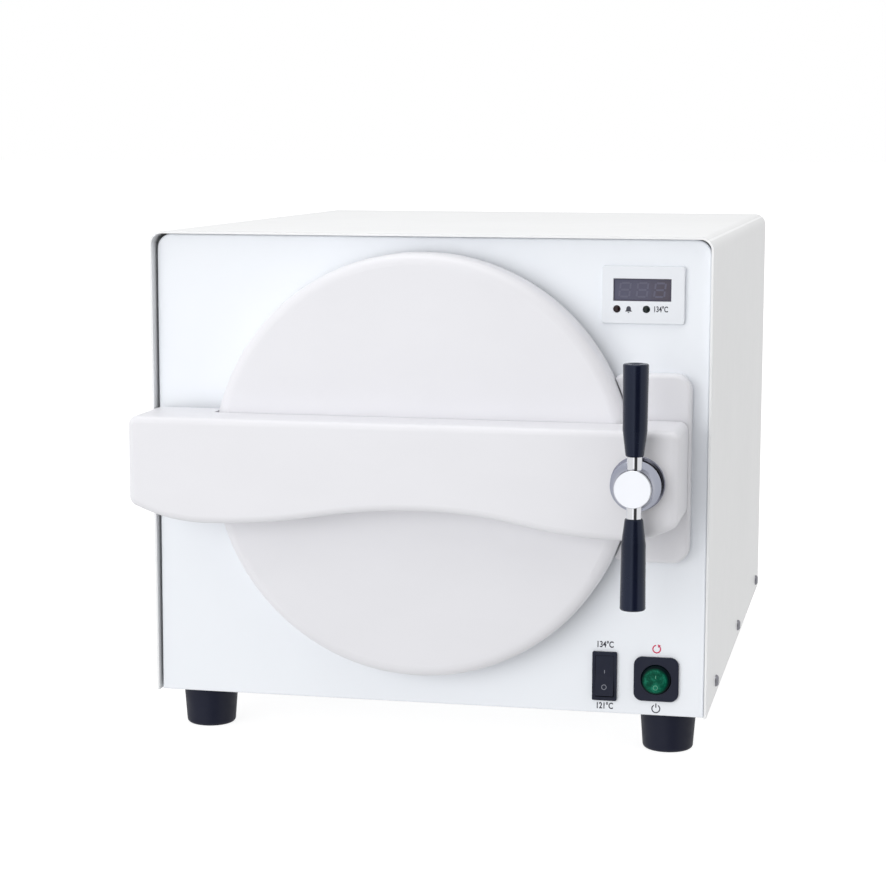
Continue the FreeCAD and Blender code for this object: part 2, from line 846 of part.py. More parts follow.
def make_rack():
    """Two windowed side plates with rails, joined by four cross bars."""
    inside = RACK_HALF - RACK_SHEET
    piece = Piece()
    piece.pad("top", [rectangle(-RACK_HALF, RACK_FRONT, RACK_HALF, RACK_BACK)], RACK_LOW, RACK_HIGH)
    piece.pocket("top", [rectangle(-inside, RACK_FRONT - FAR, inside, RACK_BACK + FAR)],
                 RACK_LOW - FAR, RACK_HIGH - RACK_SHEET)
    strap = 12
    piece.pocket("top", [rectangle(-inside, RACK_FRONT + strap, inside, RACK_BACK - strap)],
                 RACK_HIGH - RACK_SHEET, RACK_HIGH)
    for index in range(len(TRAY_NAMES)):
        low = RAIL_FIRST + RAIL_PITCH * index
        top = low + RACK_SHEET
        for side in (-1, 1):
            edges = sorted((side * (inside - RAIL_WIDTH), side * inside))
            piece.pad("top", [rectangle(edges[0], RACK_FRONT, edges[1], RACK_BACK)], low, top)
    rails = [RAIL_FIRST + RAIL_PITCH * index for index in range(len(TRAY_NAMES))]
    windows = [rounded(RACK_FRONT + 20, rail + 12, RACK_BACK - 20, rail + 44, 6)
               for rail in rails]
    piece.pocket("side", windows, -RACK_HALF - FAR, RACK_HALF + FAR)
    for front in (RACK_FRONT + 4, RACK_BACK - 6):
        piece.pad("front", [rectangle(-inside, RACK_LOW, inside, RAIL_FIRST)], front, front + 2)
    stand(piece.body, "tray_rack")


def make_trays():
    """Three perforated trays, each on its pair of rails."""
    for index, name in enumerate(TRAY_NAMES):
        low = RAIL_FIRST + RACK_SHEET + RAIL_PITCH * index
        piece = Piece()
        piece.pad("top", [rounded(-TRAY_HALF, TRAY_FRONT, TRAY_HALF, TRAY_BACK, TRAY_CORNER)],
                  low, low + TRAY_HEIGHT)
        piece.pocket("top", [rounded(TRAY_WALL - TRAY_HALF, TRAY_FRONT + TRAY_WALL,
                                     TRAY_HALF - TRAY_WALL, TRAY_BACK - TRAY_WALL,
                                     TRAY_CORNER - TRAY_WALL)],
                     low + TRAY_WALL, low + TRAY_HEIGHT)
        holes = [circle(24 * column, 70 + 40 * row, 4)
                 for column in range(-2, 3) for row in range(7)]
        piece.pocket("top", holes, low, low + TRAY_WALL)
        stand(piece.body, name)


# ---------------------------------------------------------------------------------------------
# Latch and hinge
# ---------------------------------------------------------------------------------------------

LATCH_BLOCK_RADIUS = 9
LATCH_BASE_RADIUS = 14
THREAD_CLEARANCE = 0.1
LATCH_LID_CLEARANCE = 1
PIN_FIT = 0.03
KNUCKLE_FIT = 0.08
HINGE_BASE_HALF_WIDTH = 15.5
HINGE_BASE_HALF_HEIGHT = 28
HINGE_BASE_THICK = 3
HINGE_SCREW_X = 11.2
HINGE_SCREW_Z = 6.5

lug_inner = d.knuckle_half + d.washer_thick + 0.1
lug_outer = lug_inner + d.lug_thick


def hinge_screw_places():
    return [(d.hinge_x + side * HINGE_SCREW_X, d.lid_height + up * HINGE_SCREW_Z)
            for side in (-1, 1) for up in (-1, 1)]


def make_latch():
    """Steel block that takes the clamp screw, behind a moulded cover cut round the lid."""
    hole = d.spindle_radius + THREAD_CLEARANCE
    front = 0.8
    turned("latch_block",
           [(hole, 0), (LATCH_BLOCK_RADIUS, 0), (LATCH_BLOCK_RADIUS, 9), (LATCH_BASE_RADIUS, 9),
            (LATCH_BASE_RADIUS, d.plate_front - front), (hole, d.plate_front - front)],
           d.clamp_x, front, d.lid_height)
    piece = Piece()
    piece.pad("front", [rounded(d.latch_left, d.latch_low, d.latch_right, d.latch_high,
                                d.latch_corner)], d.latch_face, d.panel_setback)
    piece.fillet(d.latch_round, edge_at_y(d.latch_face))
    wall = d.beam_wall
    piece.pocket("front", [rounded(d.latch_left + wall, d.latch_low + wall, d.latch_right - wall,
                                   d.latch_high - wall, d.latch_corner - wall)],
                 d.latch_face + wall, d.panel_setback)
    piece.pocket("front", [circle(0, d.lid_height, d.lid_radius + LATCH_LID_CLEARANCE)],
                 d.latch_face - FAR, d.panel_setback + FAR)
    piece.pocket("front", [circle(d.clamp_x, d.lid_height, d.spindle_radius + 1)],
                 d.latch_face - FAR, d.latch_face + wall + 0.1)
    stand(piece.body, "latch_cover")


def make_hinge():
    """Bracket with two lugs, its screws, the pin and the two washers beside the knuckle."""
    left = d.hinge_x - HINGE_BASE_HALF_WIDTH
    right = d.hinge_x + HINGE_BASE_HALF_WIDTH
    low = d.lid_height - HINGE_BASE_HALF_HEIGHT
    high = d.lid_height + HINGE_BASE_HALF_HEIGHT
    base_front = d.panel_setback - HINGE_BASE_THICK
    piece = Piece()
    piece.pad("front", [rounded(left, low, right, high, 4)], base_front, d.panel_setback)
    for start, end in ((d.lid_height - lug_outer, d.lid_height - lug_inner),
                       (d.lid_height + lug_inner, d.lid_height + lug_outer)):
        arm = rectangle(d.hinge_x - d.lug_half_width, d.hinge_y, d.hinge_x + d.lug_half_width,
                        base_front)
        piece.pad("top", [arm], start, end)
        piece.pad("top", [circle(d.hinge_x, d.hinge_y, d.lug_radius)], start, end)
    piece.pocket("top", [circle(d.hinge_x, d.hinge_y, d.pin_radius + PIN_FIT)],
                 d.lid_height - lug_outer - FAR, d.lid_height + lug_outer + FAR)
    holes = [circle(x, z, d.screw_hole_radius) for x, z in hinge_screw_places()]
    piece.pocket("front", holes, base_front, d.panel_setback)
    stand(piece.body, "hinge_bracket")
    screw = pan_head_screw(14)
    towards_front = FreeCAD.Rotation(FreeCAD.Vector(1, 0, 0), 90)
    places = [(x, base_front, z, towards_front) for x, z in hinge_screw_places()]
    stand(copies(screw, places), "hinge_screws")
    head = 3
    foot = lug_outer + 4
    turned("hinge_pin",
           [(0, -foot), (d.pin_radius - 1, -foot), (d.pin_radius, 1 - foot),
            (d.pin_radius, lug_outer), (d.pin_radius + 2, lug_outer),
            (d.pin_radius + 2, lug_outer + head), (0, lug_outer + head)],
           d.hinge_x, d.hinge_y, d.lid_height, FreeCAD.Rotation())
    washer = Piece()
    washer.revolve([(d.pin_radius + PIN_FIT, 0), (9, 0), (9, d.washer_thick),
                    (d.pin_radius + PIN_FIT, d.washer_thick)])
    gap = 0.05
    places = [(d.hinge_x, d.hinge_y, d.lid_height + d.knuckle_half + gap),
              (d.hinge_x, d.hinge_y, d.lid_height - d.knuckle_half - d.washer_thick - gap)]
    stand(copies(washer.body, places), "hinge_washers")


# ---------------------------------------------------------------------------------------------
# Door
# ---------------------------------------------------------------------------------------------


def make_clamp_beam():
    """Flat steel bar with the hinge knuckle at one end and the clamp boss at the other."""
    low = d.lid_height - d.knuckle_half
    high = d.lid_height + d.knuckle_half
    piece = Piece()
    piece.pad("top", [circle(d.hinge_x, d.hinge_y, d.lug_radius)], low, high)
    piece.pad("front", [rectangle(d.hinge_x, low, d.clamp_x, high)], d.bar_front, d.bar_back)
    piece.pad("front", [circle(d.clamp_x, d.lid_height, d.boss_radius)], d.boss_front, d.boss_back)
    piece.pocket("top", [circle(d.hinge_x, d.hinge_y, d.pin_radius + KNUCKLE_FIT)],
                 low - FAR, high + FAR)
    piece.pocket("front", [circle(d.clamp_x, d.lid_height, BUSH_RADIUS)],
                 d.boss_front - FAR, d.boss_back + FAR)
    piece.pocket("front", [circle(0, d.lid_height, d.stud_radius + 0.1)],
                 d.bar_front - FAR, d.bar_back + FAR)
    stand(piece.body, "clamp_beam")


BUSH_RADIUS = 9.5
BUSH_BORE_CLEARANCE = 0.08
SPINDLE_HOLE_RADIUS = 13
HUB_FLARE_RADIUS = 17
ROSETTE_RADIUS = 18.3
ROSETTE_BORE = 12.2


def beam_outline(inset):
    """The beam cover seen from the front, drawn inside its edge by the inset.

    The lower edge swings from a dip at the left over a crest to a dip at the right. Each half
    swing is two equal arcs that meet halfway, so their radius follows from the two points."""
    left_x = d.beam_left_dip_x
    crest_x = d.beam_crest_x
    right_x = d.beam_right_dip_x

    def swing(dip_x, dip):
        run = crest_x - dip_x
        rise = d.beam_crest - dip
        radius = (run * run + rise * rise) / (rise * 4)
        middle_x = dip_x + run / 2 - run * inset / (radius * 2)
        middle_z = dip + rise / 2 + (radius - rise / 2) * inset / radius
        return (radius if radius.value > 0 else -radius), middle_x, middle_z

    def end_height(dip_x, dip, sweep, end_x):
        reach = end_x - dip_x
        inner = sweep - inset
        return dip + sweep - root(inner * inner - reach * reach)

    left_radius, left_mid_x, left_mid_z = swing(left_x, d.beam_left_dip)
    right_radius, right_mid_x, right_mid_z = swing(right_x, d.beam_right_dip)
    left = d.beam_left + inset
    right = d.beam_right - inset
    top = d.beam_top - inset
    corner = d.beam_corner - inset
    left_end = end_height(left_x, d.beam_left_dip, d.beam_left_sweep, left)
    right_end = end_height(right_x, d.beam_right_dip, d.beam_right_sweep, right)
    return outline(
        (left, left_end, d.beam_left_sweep - inset),
        (left_x, d.beam_left_dip + inset, left_radius - inset),
        (left_mid_x, left_mid_z, -(left_radius + inset)),
        (crest_x, d.beam_crest + inset, -(right_radius + inset)),
        (right_mid_x, right_mid_z, right_radius - inset),
        (right_x, d.beam_right_dip + inset, d.beam_right_sweep - inset),
        (right, right_end),
        (right, top - corner, corner),
        (right - corner, top),
        (left + corner, top, corner),
        (left, top - corner),
    )


def beam_low_corner(edge):
    """Chooses the two edges along Y where the beam cover's ends meet its lower edge."""
    box = edge.BoundBox
    along_y = near(box.XLength, 0) and near(box.ZLength, 0)
    at_end = near(box.XMin, d.beam_left.value) or near(box.XMin, d.beam_right.value)
    return along_y and at_end and box.ZMax < d.lid_height.value


def make_beam_cover():
    """Moulded shell over the beam, open to the back and cut to clear lid and hinge lugs."""
    back = -1
    wall = d.beam_wall
    piece = Piece()
    piece.pad("front", [beam_outline(sized(0))], d.beam_front, back)
    piece.fillet(d.beam_corner + 1, beam_low_corner)
    piece.fillet(d.beam_edge_round, edge_at_y(d.beam_front))
    piece.pocket("front", [beam_outline(wall)], d.beam_front + wall, back)
    piece.pocket("front", [circle(0, d.lid_height, d.lid_radius + 1.5)], d.lid_front - 0.3,
                 back + FAR)
    slot_front = d.hinge_y - 9
    piece.pocket("side", [rectangle(slot_front, d.lid_height - HINGE_BASE_HALF_HEIGHT - 1, back + FAR,
                                    d.lid_height + HINGE_BASE_HALF_HEIGHT + 1)],
                 d.beam_left - FAR, d.beam_left + wall + FAR)
    piece.pocket("front", [circle(d.clamp_x, d.lid_height, SPINDLE_HOLE_RADIUS)], d.beam_front - FAR,
                 d.beam_front + wall + FAR)
    trim = rectangle(d.latch_left - 5, d.beam_right_dip - 10, d.beam_right + FAR, d.beam_top + FAR)
    piece.pocket("front", [trim], d.latch_face - 0.8, back + FAR)
    stand(piece.body, "beam_cover")


def make_lid():
    """Moulded lid cover, pressure plate, gasket, centre stud and nut."""
    depth = d.lid_back - d.lid_front
    wall = d.lid_wall
    hole = d.stud_radius + 0.1
    turned("door_lid",
           [(hole, 0), (d.lid_radius - d.lid_round, 0, d.lid_round), (d.lid_radius, d.lid_round),
            (d.lid_radius, depth), (d.lid_radius - wall, depth),
            (d.lid_radius - wall, d.lid_round, -(d.lid_round - wall)),
            (d.lid_radius - d.lid_round, wall), (hole, wall)],
           0, d.lid_front, d.lid_height)
    front = d.pressure_plate_front
    boss = d.lid_front + wall - front
    thick = d.pressure_plate_back - front
    groove = d.gasket_root - front
    turned("lid_plate",
           [(hole, boss), (30, boss), (30, 0), (d.pressure_plate_radius, 0),
            (d.pressure_plate_radius, thick), (d.gasket_outer_radius + 0.1, thick),
            (d.gasket_outer_radius + 0.1, groove), (d.gasket_inner_radius - 0.1, groove),
            (d.gasket_inner_radius - 0.1, thick), (0, thick), (0, thick - 2), (hole, thick - 2)],
           0, front, d.lid_height)
    face = d.flange_face - d.gasket_clear - d.gasket_root
    inner = d.gasket_inner_radius
    outer = d.gasket_outer_radius
    turned("lid_gasket",
           [(inner, 0), (outer, 0), (outer, face - 2, 2), (outer - 2, face), (inner + 2, face, 2),
            (inner, face - 2)],
           0, d.gasket_root, d.lid_height)
    collar = d.bar_back - d.stud_front
    lid_face = d.lid_front - d.stud_front
    end = d.pressure_plate_back - 2 - d.stud_front
    turned("lid_stud",
           [(0, 0), (d.stud_radius, 0), (d.stud_radius, collar), (16, collar), (16, lid_face),
            (d.stud_radius, lid_face), (d.stud_radius, end), (0, end)],
           0, d.stud_front, d.lid_height)
    nut = Piece()
    flat = 11
    corner = flat / math.cos(math.radians(30))
    points = [(corner * math.cos(math.radians(60 * index)),
               d.lid_height + corner * math.sin(math.radians(60 * index))) for index in range(6)]
    nut.pad("front", [outline(*points)], d.stud_front + 0.5, d.bar_front)
    nut.pocket("front", [circle(0, d.lid_height, hole)], d.stud_front, d.bar_front)
    stand(nut.body, "lid_stud_nut")


def make_clamp():
    """Clamp screw with its hub, cross rod and grips, and what it runs in."""
    bore = d.spindle_radius + BUSH_BORE_CLEARANCE
    bush = d.boss_back - d.boss_front
    turned("clamp_bush", [(bore, 0), (BUSH_RADIUS, 0), (BUSH_RADIUS, bush), (bore, bush)],
           d.clamp_x, d.boss_front, d.lid_height)
    turned("thrust_washer",
           [(bore, 0), (11.5, 0), (11.5, 2), (bore, 2)], d.clamp_x, d.hub_back, d.lid_height)
    turned("spindle_rosette",
           [(ROSETTE_BORE, 0), (ROSETTE_RADIUS - 2, 0), (ROSETTE_RADIUS - 0.6, 0.5),
            (ROSETTE_RADIUS, 1.4), (ROSETTE_BORE, 1.4)],
           d.clamp_x, d.beam_front - 1.4, d.lid_height)
    hub = d.hub_back - d.hub_front
    piece = Piece()
    piece.revolve([
        (0, 0), (d.hub_radius - 0.6, 0, 0.6), (d.hub_radius, 0.6), (d.hub_radius, 5, -20),
        (HUB_FLARE_RADIUS, hub - 1), (HUB_FLARE_RADIUS, hub), (d.spindle_radius, hub),
        (d.spindle_radius, d.spindle_tip - d.hub_front - 1.5),
        (d.spindle_radius - 1.5, d.spindle_tip - d.hub_front), (0, d.spindle_tip - d.hub_front),
    ])
    cross = d.rod_y - d.hub_front
    piece.pocket("front", [circle(0, cross, d.rod_radius + PIN_FIT)], -HUB_FLARE_RADIUS,
                 HUB_FLARE_RADIUS)
    stand(piece.body, "clamp_spindle", d.clamp_x, d.hub_front, d.lid_height, ALONG_Y)
    turned("handle_rod",
           [(0, -d.rod_half), (d.rod_radius, -d.rod_half), (d.rod_radius, d.rod_half),
            (0, d.rod_half)],
           d.clamp_x, d.rod_y, d.lid_height, FreeCAD.Rotation())
    grip = Piece()
    bore = d.rod_radius + PIN_FIT
    radius = d.grip_radius
    depth = d.rod_half - d.grip_start + 0.5
    length = d.grip_length
    grip.revolve([
        (0, depth), (bore, depth), (bore, 0), (radius - 3, 0), (radius - 2.4, 0.8),
        (radius - 0.4, 17), (radius, length - 1.2, 1.2), (radius - 1.6, length),
        (radius - 2.6, length), (0, length - 1.2),
    ])
    places = [(d.clamp_x, d.rod_y, d.lid_height + d.grip_start),
              (d.clamp_x, d.rod_y, d.lid_height - d.grip_start, UPSIDE_DOWN)]
    stand(copies(grip.body, places), "handle_grips")


# ---------------------------------------------------------------------------------------------
# Display and switches
# ---------------------------------------------------------------------------------------------

DISPLAY_BOSS_INSET = 4.6
DISPLAY_BOSS_BACK = 12
BOARD_THICK = 1.6
TEMPERATURE_RECESS_HALF_WIDTH = 6.7
TEMPERATURE_RECESS_HALF_HEIGHT = 14.8
TEMPERATURE_PIVOT_Y = 9
POWER_HOUSING_RADIUS = 12.6
POWER_RECESS_RADIUS = 10.7
POWER_PIVOT_Y = 7
SWITCH_BACK = 26
ROCKER_TILT = FreeCAD.Rotation(FreeCAD.Vector(1, 0, 0), SIZES["rocker_tilt"])


def display_frame(inset):
    return (d.display_left + inset, d.display_low + inset,
            d.display_left + d.display_width - inset, d.display_low + d.display_height - inset)


def display_cut_out():
    return display_frame(DISPLAY_BOSS_INSET - 0.3)


def temperature_frame(half_width_inset, half_height_inset):
    half_across = d.temperature_width / 2 - half_width_inset
    half_up = d.temperature_height / 2 - half_height_inset
    return (d.temperature_x - half_across, d.temperature_z - half_up,
            d.temperature_x + half_across, d.temperature_z + half_up)


def temperature_cut_out():
    return temperature_frame(0.6, 0.9)


def make_display():
    """Bezel with its window, the board behind it and the two lamps."""
    front = d.panel_setback - d.display_proud
    piece = Piece()
    piece.pad("front", [rounded(*display_frame(0), 2)], front, d.panel_setback)
    piece.fillet(0.8, edge_at_y(front))
    piece.pad("front", [rectangle(*display_frame(DISPLAY_BOSS_INSET))], d.panel_setback,
              DISPLAY_BOSS_BACK)
    window = rectangle(d.window_left, d.window_low, d.window_left + d.window_width,
                       d.window_low + d.window_height)
    lamps = [circle(x, d.lamp_height, d.lamp_radius + 0.1) for x in (d.lamp_left_x, d.lamp_right_x)]
    piece.pocket("front", [window] + lamps, front, DISPLAY_BOSS_BACK)
    stand(piece.body, "display_bezel")
    pane = block(d.window_left + 0.1, d.window_left + d.window_width - 0.1, front + 1, front + 2.5,
                 d.window_low + 0.1, d.window_low + d.window_height - 0.1)
    stand(pane, "display_window", d.window_left + 0.1, front + 1, d.window_low + 0.1)
    left, low, right, high = display_frame(DISPLAY_BOSS_INSET)
    back = DISPLAY_BOSS_BACK + BOARD_THICK
    board = fused(block(left, right, DISPLAY_BOSS_BACK, back, low, high),
                  block(d.window_left + 2, d.window_left + d.window_width - 2, front + 2.6,
                        DISPLAY_BOSS_BACK, d.window_low + 1, d.window_low + d.window_height - 1))
    stand(board, "display_board")
    lamp = Piece()
    tail = DISPLAY_BOSS_BACK - front + 0.6
    lamp.revolve([(0, 0), (d.lamp_radius - 1.2, 0.3), (d.lamp_radius, 1.4), (d.lamp_radius, tail),
                  (0, tail)])
    places = [(x, front - 0.6, d.lamp_height, ALONG_Y) for x in (d.lamp_left_x, d.lamp_right_x)]
    stand(copies(lamp.body, places), "indicator_leds")


def make_temperature_switch():
    """Upright rocker switch: a black frame and housing, and the rocker in its rest position."""
    front = d.panel_setback - 2
    piece = Piece()
    piece.pad("front", [rounded(*temperature_frame(0, 0), 1)], front, d.panel_setback)
    piece.pad("front", [rectangle(*temperature_frame(0.9, 1.2))], d.panel_setback, SWITCH_BACK)
    recess = rectangle(d.temperature_x - TEMPERATURE_RECESS_HALF_WIDTH,
                       d.temperature_z - TEMPERATURE_RECESS_HALF_HEIGHT,
                       d.temperature_x + TEMPERATURE_RECESS_HALF_WIDTH,
                       d.temperature_z + TEMPERATURE_RECESS_HALF_HEIGHT)
    piece.pocket("front", [recess], front, SWITCH_BACK - 8)
    stand(piece.body, "temperature_switch_body")
    rocker = Piece()
    half_up = TEMPERATURE_RECESS_HALF_HEIGHT - 0.7
    half_across = TEMPERATURE_RECESS_HALF_WIDTH - 0.2
    rocker.pad("side", [outline((2.5, -half_up), (2.5, -5), (6, -3), (6, 3), (2.5, 5),
                                (2.5, half_up), (-4.4, half_up), (-2.4, 0), (-4.4, -half_up))],
               -half_across, half_across)
    stand(rocker.body, "temperature_rocker", d.temperature_x, TEMPERATURE_PIVOT_Y, d.temperature_z,
          ROCKER_TILT)


def make_power_switch():
    """Square black bezel with a round rocker in its rest position."""
    front = d.panel_setback - 2.4
    half = d.power_bezel / 2
    piece = Piece()
    piece.pad("front", [rounded(d.power_x - half, d.power_z - half, d.power_x + half,
                                d.power_z + half, d.power_bezel_corner)], front, d.panel_setback)
    piece.fillet(0.8, edge_at_y(front))
    piece.pad("front", [circle(d.power_x, d.power_z, POWER_HOUSING_RADIUS)], d.panel_setback,
              SWITCH_BACK)
    piece.pocket("front", [circle(d.power_x, d.power_z, POWER_RECESS_RADIUS)], front,
                 SWITCH_BACK - 10)
    stand(piece.body, "power_switch_body")
    rocker = Piece()
    rocker.revolve([(0, -3.4), (d.power_radius * 0.6, -3.1), (d.power_radius - 0.8, -2.6),
                    (d.power_radius, -1.8), (d.power_radius, 2.4), (0, 2.4)])
    stand(rocker.body, "power_rocker", d.power_x, POWER_PIVOT_Y, d.power_z,
          ROCKER_TILT.multiply(ALONG_Y))


# ---------------------------------------------------------------------------------------------
# Electrics and rear fittings
# ---------------------------------------------------------------------------------------------

VALVE_COLLAR_RADIUS = 9
VALVE_BONNET_RADIUS = 7
VALVE_FRONT = 465
VALVE_BACK = 495
VALVE_STEM_RADIUS = 3
SAFETY_RADIUS = 10
SAFETY_FRONT = 455
FUSE_BODY_RADIUS = 6.5
FUSE_BORE = 5.2
INLET_HALF_WIDTH = 13.5
INLET_HALF_HEIGHT = 10


def make_electronics():
    """Control board on spacers and the low-voltage transformer, on the pan's floor."""
    left, right, front, back = 116, 186, 200, 320
    floor = 9
    top = floor + BOARD_THICK
    board = fused(
        block(left, right, front, back, floor, top),
        block(left + 8, left + 28, front + 12, front + 27, top, top + 16),
        block(left + 8, left + 28, front + 36, front + 51, top, top + 16),
        block(left + 40, left + 60, front + 14, front + 50, top, top + 24),
        block(left + 12, left + 44, front + 70, front + 86, top, top + 4),
        rod(6, 18, left + 56, front + 96, top),
    )
    stand(board, "control_board")
    spacer = rod(3, floor - d.sheet, 0, 0, 0)
    places = [(x, y, d.sheet) for x in (left + 4, right - 4) for y in (front + 4, back - 4)]
    stand(copies(spacer, places), "board_spacers")
    core = fused(
        block(-190, -132, 330, 382, d.sheet, d.sheet + 46),
        block(-182, -140, 322, 390, d.sheet + 8, d.sheet + 38),
    )
    stand(core, "transformer")


def make_inlet():
    """Recessed mains inlet with its three pins, and the fuse holder beside it."""
    x = d.inlet_x
    z = d.inlet_z
    piece = Piece()
    piece.pad("front", [rectangle(x - INLET_HALF_WIDTH, z - INLET_HALF_HEIGHT, x + INLET_HALF_WIDTH,
                                  z + INLET_HALF_HEIGHT)], 478, case_back)
    piece.pad("front", [rounded(x - 16, z - 12, x + 16, z + 12, 2)], case_back, case_back + 2)
    cavity = outline((x - 11.5, z - 5), (x - 8.5, z - 8), (x + 8.5, z - 8), (x + 11.5, z - 5),
                     (x + 11.5, z + 8), (x - 11.5, z + 8))
    piece.pocket("front", [cavity], 484, case_back + 2)
    stand(piece.body, "mains_inlet")
    pins = Piece(several=True)
    blades = [rectangle(x + offset - 1, z + up - 2, x + offset + 1, z + up + 2)
              for offset, up in ((-7, -2), (7, -2), (0, 2))]
    pins.pad("front", blades, 484, 496)
    stand(pins.body, "inlet_pins")
    turned("fuse_holder",
           [(0, -30), (FUSE_BODY_RADIUS, -30), (FUSE_BODY_RADIUS, 0), (9, 0), (9, 2),
            (FUSE_BORE, 2), (FUSE_BORE, -26), (0, -26)],
           d.fuse_x, case_back, d.inlet_z)
    cap = Piece()
    cap.revolve([(0, -24), (FUSE_BORE - 0.2, -24), (FUSE_BORE - 0.2, 2.3), (8, 2.3), (8, 8.4),
                 (7.4, 9), (0, 9)])
    cap.pocket("top", [rectangle(-5.5, -0.8, 5.5, 0.8)], 7.5, 10)
    stand(cap.body, "fuse_cap", d.fuse_x, case_back, d.inlet_z, ALONG_Y)


def make_drain_valve():
    """Brass needle valve with its hose nozzle, and the knob on its stem."""
    x = d.valve_x
    piece = Piece()
    piece.pad("front", [rectangle(x - 14, 28, x + 14, 92)], VALVE_FRONT, VALVE_BACK)
    piece.pad("front", [circle(x, d.valve_nozzle_z, VALVE_COLLAR_RADIUS)], VALVE_BACK,
              case_back + 3)
    piece.pad("front", [circle(x, d.valve_nozzle_z, d.nozzle_radius)], case_back + 3, d.nozzle_end)
    piece.pad("front", [circle(x, d.valve_stem_z, VALVE_BONNET_RADIUS)], VALVE_BACK, case_back + 3)
    piece.pocket("front", [circle(x, d.valve_nozzle_z, 3)], VALVE_FRONT + 12, d.nozzle_end)
    piece.pocket("front", [circle(x, d.valve_stem_z, VALVE_STEM_RADIUS + 0.1)], 479, case_back + 3)
    stand(piece.body, "drain_valve_body")
    knob = Piece()
    knob.revolve([(0, -20), (VALVE_STEM_RADIUS, -20), (VALVE_STEM_RADIUS, 3.5), (10, 3.5),
                  (13, 6), (15, 8), (15, 22), (13, 24.5), (0, 24.5)])
    scallops = [circle(17.5 * math.cos(math.radians(60 * index)),
                       17.5 * math.sin(math.radians(60 * index)), 5) for index in range(6)]
    knob.pocket("top", scallops, 3, 25)
    stand(knob.body, "drain_valve_knob", x, case_back, d.valve_stem_z, ALONG_Y)


def make_safety_valve():
    """Spring-loaded safety valve with a pull ring, and the pipes of both valves."""
    bore = VALVE_STEM_RADIUS + 0.1
    turned("safety_valve_body",
           [(PIPE_BORE, 0), (8, 0), (8, 30), (SAFETY_RADIUS, 32), (SAFETY_RADIUS, 57), (bore, 57),
            (bore, 41), (0, 41), (0, 38), (PIPE_BORE, 38)],
           d.safety_x, SAFETY_FRONT, d.safety_z)
    ring = doc.addObject("Part::Torus", "ring")
    ring.Radius1 = 8
    ring.Radius2 = 1.4
    place(ring, d.safety_x, 521, d.safety_z)
    stem = rod(VALVE_STEM_RADIUS, 17, d.safety_x, 496.5, d.safety_z, ALONG_Y)
    stand(fused(stem, ring), "safety_valve_stem")
    steam = [(d.safety_x, chamber_back, d.safety_z), (d.safety_x, SAFETY_FRONT, d.safety_z)]
    drain = [
        (DRAIN_PORT[0], chamber_back, DRAIN_PORT[1]),
        (DRAIN_PORT[0], chamber_back + 35, DRAIN_PORT[1]),
        (d.valve_x, VALVE_FRONT - 35, DRAIN_INLET_Z),
        (d.valve_x, VALVE_FRONT, DRAIN_INLET_Z),
    ]
    pipes = doc.addObject("Part::Feature", "pipes")
    pipes.Shape = Part.Compound([bent_tube(path, PIPE_RADIUS, PIPE_BORE, 12)
                                 for path in (steam, drain)])
    stand(pipes, "steam_pipes")


make_wrap_cover()
make_base_pan()
make_front_panel()
make_back_panel()
make_feet()
make_case_screws()
make_mounting_plate()
make_chamber()
make_supports()
make_heating()
make_rack()
make_trays()
make_latch()
make_hinge()
make_clamp_beam()
make_beam_cover()
make_lid()
make_clamp()
make_display()
make_temperature_switch()
make_power_switch()
make_electronics()
make_inlet()
make_drain_valve()
make_safety_valve()
doc.recompute()

# ---------------------------------------------------------------------------------------------
# Checks and export
# ---------------------------------------------------------------------------------------------

for item in doc.Objects:
    if "Invalid" in item.State or "Error" in item.State:
        raise RuntimeError("%s (%s) failed to recompute" % (item.Name, item.Label))

os.makedirs("parts", exist_ok=True)
for node in nodes:
    shape = node.Shape
    if shape.isNull() or not shape.isValid() or not shape.Solids:
        raise RuntimeError("%s has no valid solid" % node.Label)
    shape.exportStep("parts/%s.step" % node.Label)
    print("%-26s %2d solid(s)  %10.0f mm3" % (node.Label, len(shape.Solids), shape.Volume))
print(len(nodes), "nodes")
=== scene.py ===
"""Looks of a benchtop autoclave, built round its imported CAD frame."""

import json
import math

import bmesh
import bpy
from mathutils import Matrix, Vector
from mathutils.bvhtree import BVHTree

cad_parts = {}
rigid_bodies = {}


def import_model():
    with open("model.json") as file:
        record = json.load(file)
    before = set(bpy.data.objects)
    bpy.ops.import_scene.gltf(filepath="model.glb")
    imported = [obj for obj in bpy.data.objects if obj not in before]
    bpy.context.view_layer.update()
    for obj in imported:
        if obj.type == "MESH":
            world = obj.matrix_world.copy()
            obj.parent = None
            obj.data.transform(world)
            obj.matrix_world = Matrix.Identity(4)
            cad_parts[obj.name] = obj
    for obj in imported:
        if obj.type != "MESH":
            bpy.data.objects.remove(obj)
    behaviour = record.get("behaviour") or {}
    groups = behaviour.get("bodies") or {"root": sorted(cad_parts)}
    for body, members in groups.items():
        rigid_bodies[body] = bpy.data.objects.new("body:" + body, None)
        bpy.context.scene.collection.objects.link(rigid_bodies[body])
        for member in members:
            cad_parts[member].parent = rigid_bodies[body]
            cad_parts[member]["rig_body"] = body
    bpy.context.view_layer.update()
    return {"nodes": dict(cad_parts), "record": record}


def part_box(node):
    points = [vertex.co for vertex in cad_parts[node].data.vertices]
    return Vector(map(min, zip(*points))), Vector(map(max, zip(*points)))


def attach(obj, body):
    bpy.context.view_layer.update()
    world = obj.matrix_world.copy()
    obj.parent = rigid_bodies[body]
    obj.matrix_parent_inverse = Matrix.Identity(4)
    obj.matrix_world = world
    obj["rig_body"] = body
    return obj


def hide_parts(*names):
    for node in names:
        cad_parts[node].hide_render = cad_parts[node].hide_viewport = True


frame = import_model()

